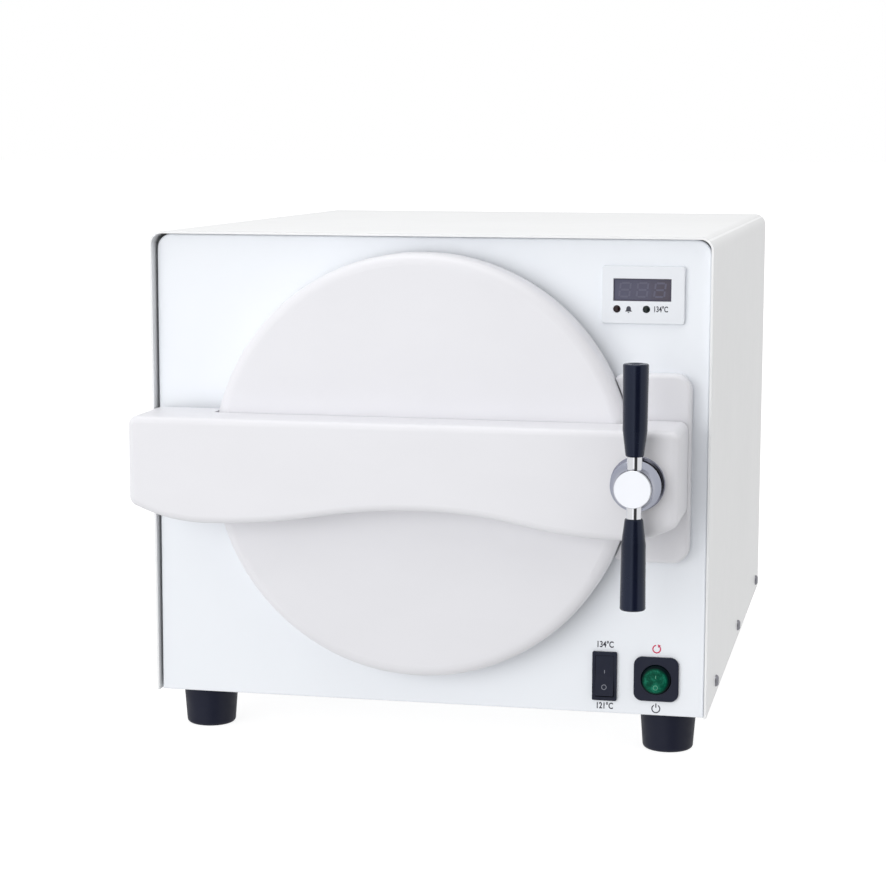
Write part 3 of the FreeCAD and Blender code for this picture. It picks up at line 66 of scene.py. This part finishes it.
MM = 0.001
WELD = 0.001 * MM           # points nearer than this are one point
INK_THICKNESS = 0.04 * MM
RAY_LEAD = 10 * MM          # how far in front of a node the rays start that lay ink on it
COVER_BEND = 9 * MM         # outer radius of the cover's two long bends
CAP_SHARE = 0.72            # height of a capital, as a share of the font's size
BOLDNESS = 0.035            # widening of a figure's outline, as a share of its height
NOISE_LOW = 0.3             # nearly all values of a noise texture lie between these two
NOISE_HIGH = 0.7


# ---------------------------------------------------------------------------------------------
# Materials
# ---------------------------------------------------------------------------------------------

def socket_name(name):
    """A socket's label, such as Specular IOR Level, from a keyword, specular_ior_level."""
    return name.replace("_", " ").title().replace("Ior", "IOR")


class Nodes:
    """A node tree, with short ways to add and join its nodes."""

    def __init__(self, owner):
        owner.use_nodes = True
        self.tree = owner.node_tree

    def node(self, kind, **values):
        """Adds a node; values are its properties, and its input sockets where the name is one."""
        made = self.tree.nodes.new("ShaderNode" + kind)
        for name, value in values.items():
            label = socket_name(name)
            if label in made.inputs:
                made.inputs[label].default_value = value
            else:
                setattr(made, name, value)
        return made

    def join(self, output, target):
        """Links an output to an input socket."""
        self.tree.links.new(output, target)

    def math(self, operation, first, second):
        """One operation on two outputs, or on an output and a number."""
        made = self.node("Math", operation=operation)
        for socket, value in zip(made.inputs, (first, second)):
            if isinstance(value, (int, float)):
                socket.default_value = value
            else:
                self.join(value, socket)
        return made.outputs["Value"]

    def parts(self, output="Object"):
        """Separate x, y and z of the row-frame coordinates, or of a direction in a world."""
        source = self.node("TexCoord")
        made = self.node("SeparateXYZ")
        self.join(source.outputs[output], made.inputs["Vector"])
        return made.outputs["X"], made.outputs["Y"], made.outputs["Z"]

    def coordinates(self, stretch=(1, 1, 1)):
        """Row-frame coordinates in metres, scaled along each axis."""
        source = self.node("TexCoord")
        mapping = self.node("Mapping")
        mapping.inputs["Scale"].default_value = stretch
        self.join(source.outputs["Object"], mapping.inputs["Vector"])
        return mapping.outputs["Vector"]

    def noise(self, scale, detail=3.0, stretch=(1, 1, 1)):
        """Noise with scale cells to the metre, times the stretch of each axis."""
        made = self.node("TexNoise", scale=scale, detail=detail)
        self.join(self.coordinates(stretch), made.inputs["Vector"])
        return made.outputs["Fac"]

    def ramp(self, value, *stops):
        """Colours the value: each stop is a place from 0 to 1 and a linear RGB colour."""
        made = self.node("ValToRGB")
        elements = made.color_ramp.elements
        while len(elements) < len(stops):
            elements.new(0.5)
        for element, (place, colour) in zip(elements, stops):
            element.position = place
            element.color = (*colour, 1)
        self.join(value, made.inputs["Fac"])
        return made.outputs["Color"]

    def spread(self, value, low, high, start=NOISE_LOW, end=NOISE_HIGH):
        """Maps the value from start..end to low..high."""
        made = self.node("MapRange")
        made.inputs["From Min"].default_value = start
        made.inputs["From Max"].default_value = end
        made.inputs["To Min"].default_value = low
        made.inputs["To Max"].default_value = high
        self.join(value, made.inputs["Value"])
        return made.outputs["Result"]


class Finish(Nodes):
    """One procedural material: a Principled shader with nodes for grain, patches and bump."""

    def __init__(self, name, metallic=0.0, **sockets):
        self.material = bpy.data.materials.new(name)
        super().__init__(self.material)
        self.shader = self.tree.nodes["Principled BSDF"]
        self.shader.inputs["Metallic"].default_value = metallic
        for socket, value in sockets.items():
            self.shader.inputs[socket_name(socket)].default_value = value

    def colour(self, output):
        """Joins an output to the base colour."""
        self.join(output, self.shader.inputs["Base Color"])

    def vary(self, value, colour, share, *stops):
        """Colours the value from a share darker than the colour to a share lighter."""
        self.colour(self.ramp(value, (NOISE_LOW, shade(colour, 1 - share)),
                              (NOISE_HIGH, shade(colour, 1 + share)), *stops))

    def roughness(self, output):
        """Joins an output to the roughness."""
        self.join(output, self.shader.inputs["Roughness"])

    def bump(self, height, distance):
        """Raises the surface by up to the distance, where the height output is 1."""
        made = self.node("Bump", strength=1.0, distance=distance)
        self.join(height, made.inputs["Height"])
        self.join(made.outputs["Normal"], self.shader.inputs["Normal"])


def shade(colour, factor):
    """The colour times the factor, no channel above 1."""
    return tuple(min(1.0, c * factor) for c in colour)


def bend_highlight_mask(made):
    """A painted highlight: a thin pale line along each long bend of the cover, standing in for the
    light that the bend catches. Its value is core on the line and 0 beside it."""
    core = 0.7
    line_at, core_ends, line_ends = (math.radians(degrees) for degrees in (50, 3, 7))
    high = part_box("wrap_cover")[1]
    x, _, z = made.parts()
    out = made.math("SUBTRACT", made.math("ABSOLUTE", x, 0.0), high.x - COVER_BEND)
    up = made.math("SUBTRACT", z, high.z - COVER_BEND)
    turn = made.math("SUBTRACT", made.math("ARCTAN2", up, out), line_at)
    return made.spread(made.math("ABSOLUTE", turn, 0.0), core, 0.0, core_ends, line_ends)


def painted(name, colour, painted_bend_highlight=False):
    """Baked paint: faint large patches, and an orange peel of fine waves. The last colour stop
    is the painted highlight along the bends, a lighter copy of the paint colour."""
    made = Finish(name, coat_weight=0.2, coat_roughness=0.18)
    clouds = made.noise(6.0, detail=4)
    if painted_bend_highlight:
        # painted highlight: lightens the paint along the cover's bends
        clouds = made.math("ADD", clouds, bend_highlight_mask(made))
    made.vary(clouds, colour, 0.02, (1.0, shade(colour, 1.16)))
    made.roughness(made.spread(made.noise(60.0), 0.36, 0.46))
    made.bump(made.noise(420.0, detail=2), 0.004 * MM)
    return made.material


def moulded(name, colour, vary=0.03, rough=(0.34, 0.44), grain=2600.0, depth=0.006,
            tint=(1, 1, 1), **sockets):
    """Moulded plastic or rubber: faint flow patches and a fine spark-eroded grain, depth
    millimetres deep."""
    made = Finish(name, **sockets)
    made.shader.inputs["Specular Tint"].default_value = (*tint, 1)
    made.vary(made.noise(14.0, detail=3, stretch=(1, 1, 2)), colour, vary)
    made.roughness(made.spread(made.noise(160.0), *rough))
    made.bump(made.noise(grain, detail=2), depth * MM)
    return made.material


def brushed(name, colour, stretch, rough=(0.24, 0.42), vary=0.12):
    """Metal with fine lines: stretch is small along the lines and large across them."""
    made = Finish(name, metallic=1.0)
    lines = made.noise(1.0, detail=6, stretch=stretch)
    made.vary(lines, colour, vary)
    made.roughness(made.spread(lines, *rough))
    made.bump(lines, 0.004 * MM)
    return made.material


def polished(name, colour, rough=(0.04, 0.09)):
    """Bright plating with faint handling marks."""
    made = Finish(name, metallic=1.0)
    smudge = made.noise(90.0, detail=5)
    made.colour(made.ramp(smudge, (NOISE_LOW, shade(colour, 0.97)), (NOISE_HIGH, colour)))
    made.roughness(made.spread(smudge, *rough))
    made.bump(made.noise(900.0, detail=2), 0.0008 * MM)
    return made.material


def hub_plate_and_edge_shade():
    """Plating of the clamp spindle: bright on the front disc, a painted dark edge round the disc
    that stands for the shade on its rounded rim, and satin grey on the stem and its flare."""
    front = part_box("clamp_spindle")[0].y
    coloured_depth = 10 * MM
    # painted shade: the dark colour of the disc's rounded edge
    dark = (0.04, 0.04, 0.06)
    made = Finish("hub_plate_and_edge_shade", metallic=1.0)
    depth = made.spread(made.parts()[1], 0.0, 1.0, front, front + coloured_depth)
    made.colour(made.ramp(depth, (0.02, (0.88, 0.90, 0.95)), (0.035, dark), (0.38, dark),
                          (0.48, (0.52, 0.54, 0.62)), (1.0, (0.42, 0.44, 0.52))))
    made.roughness(made.spread(made.noise(90.0, detail=5), 0.10, 0.16))
    made.bump(made.noise(900.0, detail=2), 0.0008 * MM)
    return made.material


def smoked_window():
    """Smoked acrylic over a dark display: cooler on the left, warmer on the right."""
    low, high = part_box("display_window")
    made = Finish("dark_window", roughness=0.14, specular_ior_level=0.25)
    across = made.spread(made.parts()[0], 0.0, 1.0, low.x, high.x)
    cloud = made.spread(made.noise(120.0), -0.12, 0.12)
    made.colour(made.ramp(made.math("ADD", across, cloud), (0.0, (0.088, 0.090, 0.138)),
                          (0.55, (0.089, 0.087, 0.130)), (1.0, (0.078, 0.066, 0.085))))
    made.bump(made.noise(300.0), 0.001 * MM)
    return made.material


def green_lens():
    """Translucent green rocker: mottled inside, with painted shade at its rim, most at the upper
    right where the recess shades it, and a painted paler patch round its lower mark where the lower
    half catches more light.
    """
    low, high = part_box("power_rocker")
    made = Finish("green_rocker", roughness=0.24, specular_ior_level=0.06)
    x, _, z = made.parts()

    def away(aside, below):
        """Distance in rocker radii from a place that far to the right of and below its middle."""
        across = made.math("SUBTRACT", x, (low.x + high.x) / 2 + aside)
        up = made.math("SUBTRACT", z, (low.z + high.z) / 2 - below)
        squares = made.math("ADD", made.math("MULTIPLY", across, across),
                            made.math("MULTIPLY", up, up))
        return made.math("DIVIDE", made.math("POWER", squares, 0.5), (high.x - low.x) / 2)

    cells = made.node("TexVoronoi", scale=900.0)
    made.join(made.coordinates(), cells.inputs["Vector"])
    glow = made.noise(220.0, detail=4)
    mottle_and_lit_patch = made.math("ADD", made.math("MULTIPLY", cells.outputs["Distance"], 0.3), glow)
    # painted light: paler round the lower mark, where the rocker's lower half faces the light
    mottle_and_lit_patch = made.math("ADD", mottle_and_lit_patch, made.spread(away(0, 5.3 * MM), 0.28, 0.0, 0.1, 0.42))
    # painted shade: darker towards the rim, most at the upper right, where the recess shades the
    # rocker
    rim = made.spread(away(-0.4 * MM, 0.9 * MM), 1.0, 0.05, 0.74, 0.92)
    made.colour(made.ramp(made.math("MULTIPLY", mottle_and_lit_patch, rim), (0.04, (0.001, 0.006, 0.008)),
                          (0.35, (0.001, 0.038, 0.023)), (0.62, (0.001, 0.072, 0.040)),
                          (0.95, (0.014, 0.180, 0.110))))
    made.bump(glow, 0.01 * MM)
    return made.material


def wool():
    """Mineral wool: long fine fibres along one axis."""
    made = Finish("mineral_wool", roughness=0.95)
    fibres = made.noise(1.0, detail=8, stretch=(900, 200, 900))
    made.colour(made.ramp(fibres, (NOISE_LOW, (0.42, 0.38, 0.28)),
                          (NOISE_HIGH, (0.78, 0.75, 0.66))))
    made.bump(fibres, 0.6 * MM)
    return made.material


def circuit_board():
    """Solder mask with lighter copper tracks under it."""
    made = Finish("circuit_board", roughness=0.32, coat_weight=0.3)
    tracks = made.node("TexBrick", scale=160.0, mortar_size=0.03)
    made.join(made.coordinates(), tracks.inputs["Vector"])
    made.colour(made.ramp(tracks.outputs["Fac"], (0.2, (0.010, 0.100, 0.040)),
                          (0.8, (0.030, 0.220, 0.090))))
    made.bump(tracks.outputs["Fac"], 0.03 * MM)
    return made.material


def laminations():
    """Stacked iron sheets under lacquer."""
    made = Finish("transformer_core", metallic=0.6)
    sheets = made.node("TexWave", scale=320.0, distortion=0.3)
    made.join(made.coordinates(), sheets.inputs["Vector"])
    made.colour(made.ramp(sheets.outputs["Fac"], (0.2, (0.06, 0.06, 0.07)),
                          (0.8, (0.2, 0.2, 0.21))))
    made.roughness(made.spread(made.noise(150.0), 0.3, 0.5))
    made.bump(sheets.outputs["Fac"], 0.05 * MM)
    return made.material


def printed(name, colour):
    """Screen-printed ink: slightly uneven cover."""
    made = Finish(name)
    cover = made.noise(1500.0, detail=3)
    made.vary(cover, colour, 0.12)
    made.roughness(made.spread(cover, 0.4, 0.6))
    made.bump(cover, 0.005 * MM)
    return made.material


# The finish of each material slot.
LOOKS = {
    # the cover's paint carries a painted highlight along its two long bends
    "cover_paint": painted("cover_paint", (0.845, 0.852, 0.86), painted_bend_highlight=True),
    "panel_paint": painted("panel_paint", (0.84, 0.868, 0.91)),
    "moulded_white": moulded("moulded_white", (0.755, 0.754, 0.785), vary=0.010),
    "display_grey": moulded("display_grey", (0.775, 0.80, 0.84), vary=0.012),
    "dark_window": smoked_window(),
    "black_rubber": moulded("black_rubber", (0.008, 0.010, 0.024), rough=(0.42, 0.55),
                            grain=1500.0, depth=0.02, specular_ior_level=0.25),
    "grip_black": moulded("grip_black", (0.005, 0.007, 0.019), vary=0.15, rough=(0.22, 0.28),
                          tint=(0.66, 0.76, 1.0), specular_ior_level=0.48),
    "switch_black": moulded("switch_black", (0.011, 0.014, 0.030), vary=0.1, rough=(0.34, 0.46),
                            specular_ior_level=0.25),
    "green_rocker": green_lens(),
    "lamp_red": moulded("lamp_red", (0.030, 0.008, 0.010), rough=(0.08, 0.14), coat_weight=0.6),
    "chrome": polished("chrome", (0.86, 0.87, 0.90)),
    "stainless": brushed("stainless", (0.62, 0.62, 0.63), (1200, 40, 1200)),
    "plated_steel": brushed("plated_steel", (0.60, 0.61, 0.63), (500, 500, 500),
                            rough=(0.28, 0.42)),
    "brass": brushed("brass", (0.66, 0.46, 0.20), (700, 60, 700), rough=(0.2, 0.36)),
    "silicone": moulded("silicone", (0.70, 0.68, 0.64), rough=(0.5, 0.65)),
    "mineral_wool": wool(),
    "element_steel": brushed("element_steel", (0.20, 0.17, 0.15), (300, 300, 300),
                             rough=(0.4, 0.6), vary=0.3),
    "circuit_board": circuit_board(),
    "transformer_core": laminations(),
    "white_ceramic": moulded("white_ceramic", (0.78, 0.76, 0.70), rough=(0.45, 0.6),
                             grain=1200.0, depth=0.02),
}
DARK_INK = printed("dark_ink", (0.050, 0.052, 0.070))
RED_INK = printed("red_ink", (0.60, 0.050, 0.120))
PALE_INK = printed("pale_ink", (0.24, 0.25, 0.29))
LENS_INK = printed("lens_ink", (0.10, 0.33, 0.22))
GHOST_INK = printed("ghost_ink", (0.102, 0.100, 0.148))
# ink for the painted shade round the display window's edges
WINDOW_SHADE_INK = printed("window_shade_ink", (0.050, 0.045, 0.075))
MAROON_LAMP = moulded("lamp_maroon", (0.014, 0.003, 0.004), rough=(0.08, 0.14))
GREEN_LAMP = moulded("lamp_green", (0.002, 0.008, 0.007), rough=(0.08, 0.14))

# Nodes that look different from the rest of their slot.
NODE_LOOKS = {
    "clamp_spindle": hub_plate_and_edge_shade(),
    "spindle_rosette": polished("rosette_plate", (0.34, 0.35, 0.43), rough=(0.20, 0.28)),
    "cover_screws": polished("dark_screws", (0.28, 0.28, 0.31), rough=(0.24, 0.34)),
}


def dress_nodes():
    """Gives every CAD node its own finish, or else that of its material slot."""
    for part in frame["record"]["subparts"]:
        node = frame["nodes"][part["node"]]
        node.data.materials.clear()
        look = NODE_LOOKS.get(part["node"], LOOKS[part["material_slot"]])
        node.data.materials.append(look)


# ---------------------------------------------------------------------------------------------
# Flat shapes printed on the object, drawn in x and z from their own centre, in millimetres
# ---------------------------------------------------------------------------------------------

def arc(radius, start, end, steps):
    """Points on an arc, angles in degrees from +x towards +z."""
    turns = [math.radians(start + (end - start) * i / steps) for i in range(steps + 1)]
    return [(radius * math.cos(t), radius * math.sin(t)) for t in turns]


def bar(x, z, width, height, slant=0.0):
    """Upright bar round (x, z), its top pushed sideways by slant times the height."""
    half = height / 2
    return [(x + side * width / 2 + slant * up * half, z + up * half)
            for side, up in ((-1, -1), (1, -1), (1, 1), (-1, 1))]


def post(x, z, width, height, cells=6):
    """Upright bar cut into cells, so that it can follow a curved surface."""
    step = height / cells
    return [bar(x, z - height / 2 + (i + 0.5) * step, width, step) for i in range(cells)]


def band(radius, width, start, end, steps=32):
    """Part of a ring, as a strip of four-sided cells."""
    inner = arc(radius - width / 2, start, end, steps)
    outer = arc(radius + width / 2, start, end, steps)
    return [[inner[i], outer[i], outer[i + 1], inner[i + 1]] for i in range(steps)]


def power_sign(size):
    """Open ring with a bar in the gap."""
    stroke = size * 0.12
    return band(size * 0.42, stroke, 120, 420) + [bar(0, size * 0.34, stroke, size * 0.44)]


def reset_sign(size):
    """Open ring that ends in an arrow head."""
    radius = size * 0.36
    half_head = size * 0.17
    start, end = 100, 400
    tip = math.radians(end)
    along = Vector((-math.sin(tip), math.cos(tip)))
    out = Vector((math.cos(tip), math.sin(tip)))
    foot = out * radius
    head = [foot - out * half_head, foot + out * half_head, foot + along * size * 0.3]
    return band(radius, size * 0.12, start, end) + [[tuple(point) for point in head]]


def bell_sign(size):
    """Small bell: dome, skirt and clapper."""
    dome = [(x, z + size * 0.08) for x, z in arc(size * 0.24, 0, 180, 12)]
    body = dome + [(-size * 0.26, -size * 0.12), (-size * 0.38, -size * 0.26),
                   (size * 0.38, -size * 0.26), (size * 0.26, -size * 0.12)]
    clapper = [(x, z - size * 0.32) for x, z in arc(size * 0.1, 180, 360, 8)]
    return [body, clapper]


def segment_digit(x, width, height, stroke, slant):
    """The seven bars of one display digit, round (x, 0), with small gaps between them."""
    upright = height / 2 - stroke * 1.2
    across = width - stroke * 2.2
    bars = []
    for z in (-(height - stroke) / 2, 0, (height - stroke) / 2):
        bars.append(bar(x + slant * z, z, across, stroke, slant))
    for aside in (-(width - stroke) / 2, (width - stroke) / 2):
        for z in (-height / 4, height / 4):
            bars.append(bar(x + aside + slant * z, z, stroke, upright, slant))
    return bars


def to_mesh(made, name):
    """Turns a bmesh into a mesh and frees it."""
    mesh = bpy.data.meshes.new(name)
    made.to_mesh(mesh)
    made.free()
    return mesh


def add_object(name, data):
    """Adds an object to the scene."""
    made = bpy.data.objects.new(name, data)
    bpy.context.scene.collection.objects.link(made)
    return made


def flat_mesh(name, polygons):
    """A flat mesh of polygons that are given as x and z in millimetres."""
    made = bmesh.new()
    for points in polygons:
        made.faces.new([made.verts.new((x * MM, 0, z * MM)) for x, z in points])
    bmesh.ops.remove_doubles(made, verts=made.verts, dist=WELD)
    return to_mesh(made, name)


def text_mesh(name, words, height):
    """Upright figures of that cap height in millimetres, centred, as a flat mesh."""
    curve = bpy.data.curves.new(name, "FONT")
    curve.body = words
    curve.align_x = "CENTER"
    curve.align_y = "CENTER"
    curve.size = height * MM / CAP_SHARE
    curve.offset = height * MM * BOLDNESS
    writer = bpy.data.objects.new(name, curve)
    mesh = bpy.data.meshes.new_from_object(writer)
    mesh.transform(Matrix.Rotation(math.radians(90), 4, "X"))
    bpy.data.objects.remove(writer)
    bpy.data.curves.remove(curve)
    return mesh


def surface_of(node):
    """Search tree of a CAD node's faces."""
    mesh = frame["nodes"][node].data
    return BVHTree.FromPolygons([v.co for v in mesh.vertices], [p.vertices for p in mesh.polygons])


def lay_on(name, mesh, node, x, z, material, narrow=1.0):
    """Lays a flat mesh on the front of a CAD node at (x, z), as a thin coat of ink."""
    tree = surface_of(node)
    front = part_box(node)[0].y - RAY_LEAD
    made = bmesh.new()
    made.from_mesh(mesh)
    for vert in made.verts:
        spot = Vector((vert.co.x * narrow + x, front, vert.co.z + z))
        hit = tree.ray_cast(spot, Vector((0, 1, 0)))[0]
        vert.co = hit if hit else spot
    bmesh.ops.recalc_face_normals(made, faces=made.faces)
    coat = bmesh.ops.extrude_face_region(made, geom=list(made.faces))
    for vert in [g for g in coat["geom"] if isinstance(g, bmesh.types.BMVert)]:
        vert.co.y -= INK_THICKNESS
    bmesh.ops.recalc_face_normals(made, faces=made.faces)
    made.to_mesh(mesh)
    made.free()
    mesh.materials.append(material)
    piece = add_object(name, mesh)
    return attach(piece, body_of(node))


def body_of(node):
    """Name of the body that a CAD node rides on."""
    return frame["nodes"][node]["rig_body"]


def middle(node):
    """Centre of a CAD node's box."""
    low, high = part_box(node)
    return (low + high) / 2


def make_panel_print():
    """Figures and signs on the panel, beside the switches."""
    switch = middle("temperature_switch_body")
    low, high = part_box("temperature_switch_body")
    for name, words, z in (("label_hot", "134°C", high.z + 4.8 * MM),
                           ("label_warm", "121°C", low.z - 4.3 * MM)):
        lay_on(name, text_mesh(name, words, height=4.4), "front_panel", switch.x, z, DARK_INK,
               narrow=0.78)
    switch = middle("power_switch_body")
    low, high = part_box("power_switch_body")
    sign_gap = 5.6 * MM
    lay_on("sign_reset", flat_mesh("sign_reset", reset_sign(size=7.4)), "front_panel", switch.x,
           high.z + sign_gap, RED_INK)
    lay_on("sign_power", flat_mesh("sign_power", power_sign(size=6.6)), "front_panel", switch.x,
           low.z - sign_gap, DARK_INK)


def make_display_print():
    """Bell and figures beside the lamps, the unlit digits in the window, and a painted shade rim
    along the window's recessed edges.
    """
    lamps = middle("indicator_leds")
    low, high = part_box("indicator_leds")
    lay_on("sign_alarm", flat_mesh("sign_alarm", bell_sign(size=6.4)), "display_bezel",
           low.x + 10.6 * MM, lamps.z, DARK_INK)
    lay_on("label_ready", text_mesh("label_ready", "134°C", height=3.9), "display_bezel",
           high.x + 7.3 * MM, lamps.z, DARK_INK, narrow=0.72)
    window = middle("display_window")
    low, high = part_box("display_window")
    digits = []
    for x in (-12.0, 0.0, 12.0):
        digits += segment_digit(x, width=8.2, height=10.6, stroke=1.3, slant=0.12)
    lay_on("window_digits", flat_mesh("window_digits", digits), "display_window", window.x,
           window.z, GHOST_INK)
    # painted shade: a thin dark rim along the window's edges, where its recess shades it
    width = (high.x - low.x) / MM
    height = (high.z - low.z) / MM
    rim = 0.7
    inset = 0.1
    edges = [bar(0, side * (height / 2 - rim / 2 - inset), width - 2 * inset, rim)
             for side in (-1, 1)]
    edges += [bar(side * (width / 2 - rim / 2 - inset), 0, rim, height - 2 * (rim + inset))
              for side in (-1, 1)]
    lay_on("window_shade_rim", flat_mesh("window_shade_rim", edges), "display_window", window.x, window.z,
           WINDOW_SHADE_INK)


def make_rocker_print():
    """On and off marks on the two rockers."""
    bar_width = 0.45
    ring_width = 0.4
    # Node, the bar's z and height, the ring's z and radius, ink, slot.
    marks = (
        ("temperature_rocker", 3.0, 2.4, -7.6, 1.6, PALE_INK, "white_ceramic"),
        ("power_rocker", 2.2, 2.0, -5.3, 1.5, LENS_INK, "green_rocker"),
    )
    for node, bar_z, bar_height, ring_z, ring_radius, ink, slot_name in marks:
        centre = middle(node)
        shapes = post(0, bar_z, bar_width, bar_height)
        shapes += [[(x, z + ring_z) for x, z in cell]
                   for cell in band(ring_radius, ring_width, 0, 360)]
        name = node + "_marks"
        lay_on(name, flat_mesh(name, shapes), node, centre.x, centre.z, ink)


# ---------------------------------------------------------------------------------------------
# Shaped pieces
# ---------------------------------------------------------------------------------------------

def lathe(name, points, place, material, body, steps=40):
    """A piece turned about the y axis through place; points are (radius, y), in millimetres."""
    made = bmesh.new()
    verts = [made.verts.new((radius * MM, y * MM, 0)) for radius, y in points]
    for first, second in zip(verts, verts[1:]):
        made.edges.new((first, second))
    bmesh.ops.spin(made, geom=made.verts[:] + made.edges[:], axis=(0, 1, 0), cent=(0, 0, 0),
                   angle=math.radians(360), steps=steps, use_duplicate=False)
    bmesh.ops.remove_doubles(made, verts=made.verts, dist=WELD)
    bmesh.ops.recalc_face_normals(made, faces=made.faces)
    bmesh.ops.translate(made, verts=made.verts, vec=place)
    for face in made.faces:
        face.smooth = True
    mesh = to_mesh(made, name)
    mesh.materials.append(material)
    piece = add_object(name, mesh)
    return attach(piece, body)


def make_lamps():
    """Two domed lamps that stand for the plain CAD ones."""
    low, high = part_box("indicator_leds")
    radius = (high.z - low.z) / 2
    rim = radius / MM
    depth = (high.y - low.y) / MM
    dome_radius = 0.96 * rim
    dome_height = 0.9
    shoulder = 1.3
    profile = [(0, 0)]
    for degrees in range(15, 91, 15):
        turn = math.radians(degrees)
        profile.append((dome_radius * math.sin(turn), dome_height * (1 - math.cos(turn))))
    profile += [(rim, shoulder), (rim, depth), (0, depth)]
    for name, x, material in (("lamp_alarm", low.x + radius, MAROON_LAMP),
                              ("lamp_ready", high.x - radius, GREEN_LAMP)):
        piece = lathe(name, profile, (x, low.y, middle("indicator_leds").z), material,
                      "case")
        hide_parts("indicator_leds")


dress_nodes()
make_panel_print()
make_display_print()
make_rocker_print()
make_lamps()


# ---------------------------------------------------------------------------------------------
# Stage: floor, light and camera
# ---------------------------------------------------------------------------------------------

def make_floor():
    """Large pale floor. It is seen by the camera only, so that the room alone lights the object."""
    made = bmesh.new()
    bmesh.ops.create_circle(made, cap_ends=True, radius=40.0, segments=64)
    floor = add_object("floor", to_mesh(made, "floor"))
    finish = Finish("floor", roughness=0.9, emission_strength=0.86)
    finish.colour(finish.ramp(finish.noise(3.0), (NOISE_LOW, (0.30, 0.30, 0.30)),
                              (NOISE_HIGH, (0.31, 0.31, 0.31))))
    finish.shader.inputs["Emission Color"].default_value = (1, 1, 1, 1)
    floor.data.materials.append(finish.material)
    floor.visible_diffuse = False
    floor.visible_glossy = False


def make_lamp(name, place, aim, width, height, power, shows=True):
    """Soft box at a place, turned to aim; shows tells whether it is mirrored in bright metal."""
    light = bpy.data.lights.new(name, "AREA")
    light.shape = "RECTANGLE"
    light.size = width
    light.size_y = height
    light.energy = power
    lamp = add_object(name, light)
    lamp.location = place
    lamp.rotation_mode = "QUATERNION"
    lamp.rotation_quaternion = (Vector(aim) - Vector(place)).to_track_quat("-Z", "Y")
    lamp.visible_glossy = shows


def make_world():
    """White room: full white where the camera sees it, and as light a little brighter above than
    below, and on the right than on the left. For bright metal it has one tall white screen ahead
    and a dark gap to its right."""
    screen_at, gap_at = -8, 27
    screen_light, gap_light = 0.24, 0.06
    world = bpy.data.worlds.new("studio")
    bpy.context.scene.world = world
    nodes = Nodes(world)
    x, y, z = nodes.parts("Generated")
    room = nodes.math("MULTIPLY", nodes.spread(z, 0.79, 0.92, -1.0, 1.0),
                      nodes.spread(x, 0.96, 1.0, -1.0, 1.0))
    turn = nodes.math("ARCTAN2", x, nodes.math("MULTIPLY", y, -1.0))

    def fade(centre, near, far, start, end):
        """From near to far, as the angle from a direction goes from start to end degrees. The
        direction is itself an angle to the right of the front."""
        aside = nodes.math("ABSOLUTE", nodes.math("SUBTRACT", turn, math.radians(centre)), 0.0)
        return nodes.spread(aside, near, far, math.radians(start), math.radians(end))

    height = nodes.math("ABSOLUTE", z, 0.0)
    gap = nodes.math("MAXIMUM", fade(gap_at, gap_light, 1.0, 20, 25),
                     nodes.spread(height, gap_light, 1.0, 0.40, 0.55))
    screen = fade(screen_at, screen_light, 0.0, 6, 11)
    light = nodes.math("MULTIPLY", nodes.math("ADD", room, screen), gap)
    path = nodes.node("LightPath")
    mix = nodes.node("Mix")
    mix.inputs["B"].default_value = 1.0
    nodes.join(path.outputs["Is Camera Ray"], mix.inputs["Factor"])
    nodes.join(light, mix.inputs["A"])
    background = nodes.tree.nodes["Background"]
    background.inputs["Color"].default_value = (1, 1, 1, 1)
    nodes.join(mix.outputs["Result"], background.inputs["Strength"])


def make_camera():
    """Long lens in front and to the right, a little above the top of the case."""
    place = (0.3392, -1.7669, 0.4309)
    turn, down, roll = (math.radians(degrees) for degrees in (11.897, 7.632, 0.173))
    data = bpy.data.cameras.new("camera")
    data.sensor_width = 36.0
    data.lens = 92.62
    data.clip_end = 100.0
    aim = Matrix.Rotation(turn, 4, "Z")
    aim @= Matrix.Rotation(math.radians(90) - down, 4, "X")
    aim @= Matrix.Rotation(roll, 4, "Z")
    camera = add_object("camera", data)
    camera.matrix_world = Matrix.Translation(place) @ aim
    bpy.context.scene.camera = camera


make_floor()
make_world()
make_lamp("key", place=(-0.95, -2.5, 0.42), aim=(0, -0.2, 0.18), width=2.1, height=1.6, power=32,
          shows=False)
make_lamp("top", place=(-0.1, -0.45, 1.7), aim=(0, -0.2, 0.3), width=1.5, height=0.35, power=5)
make_camera()
bpy.context.scene.view_settings.view_transform = "Standard"
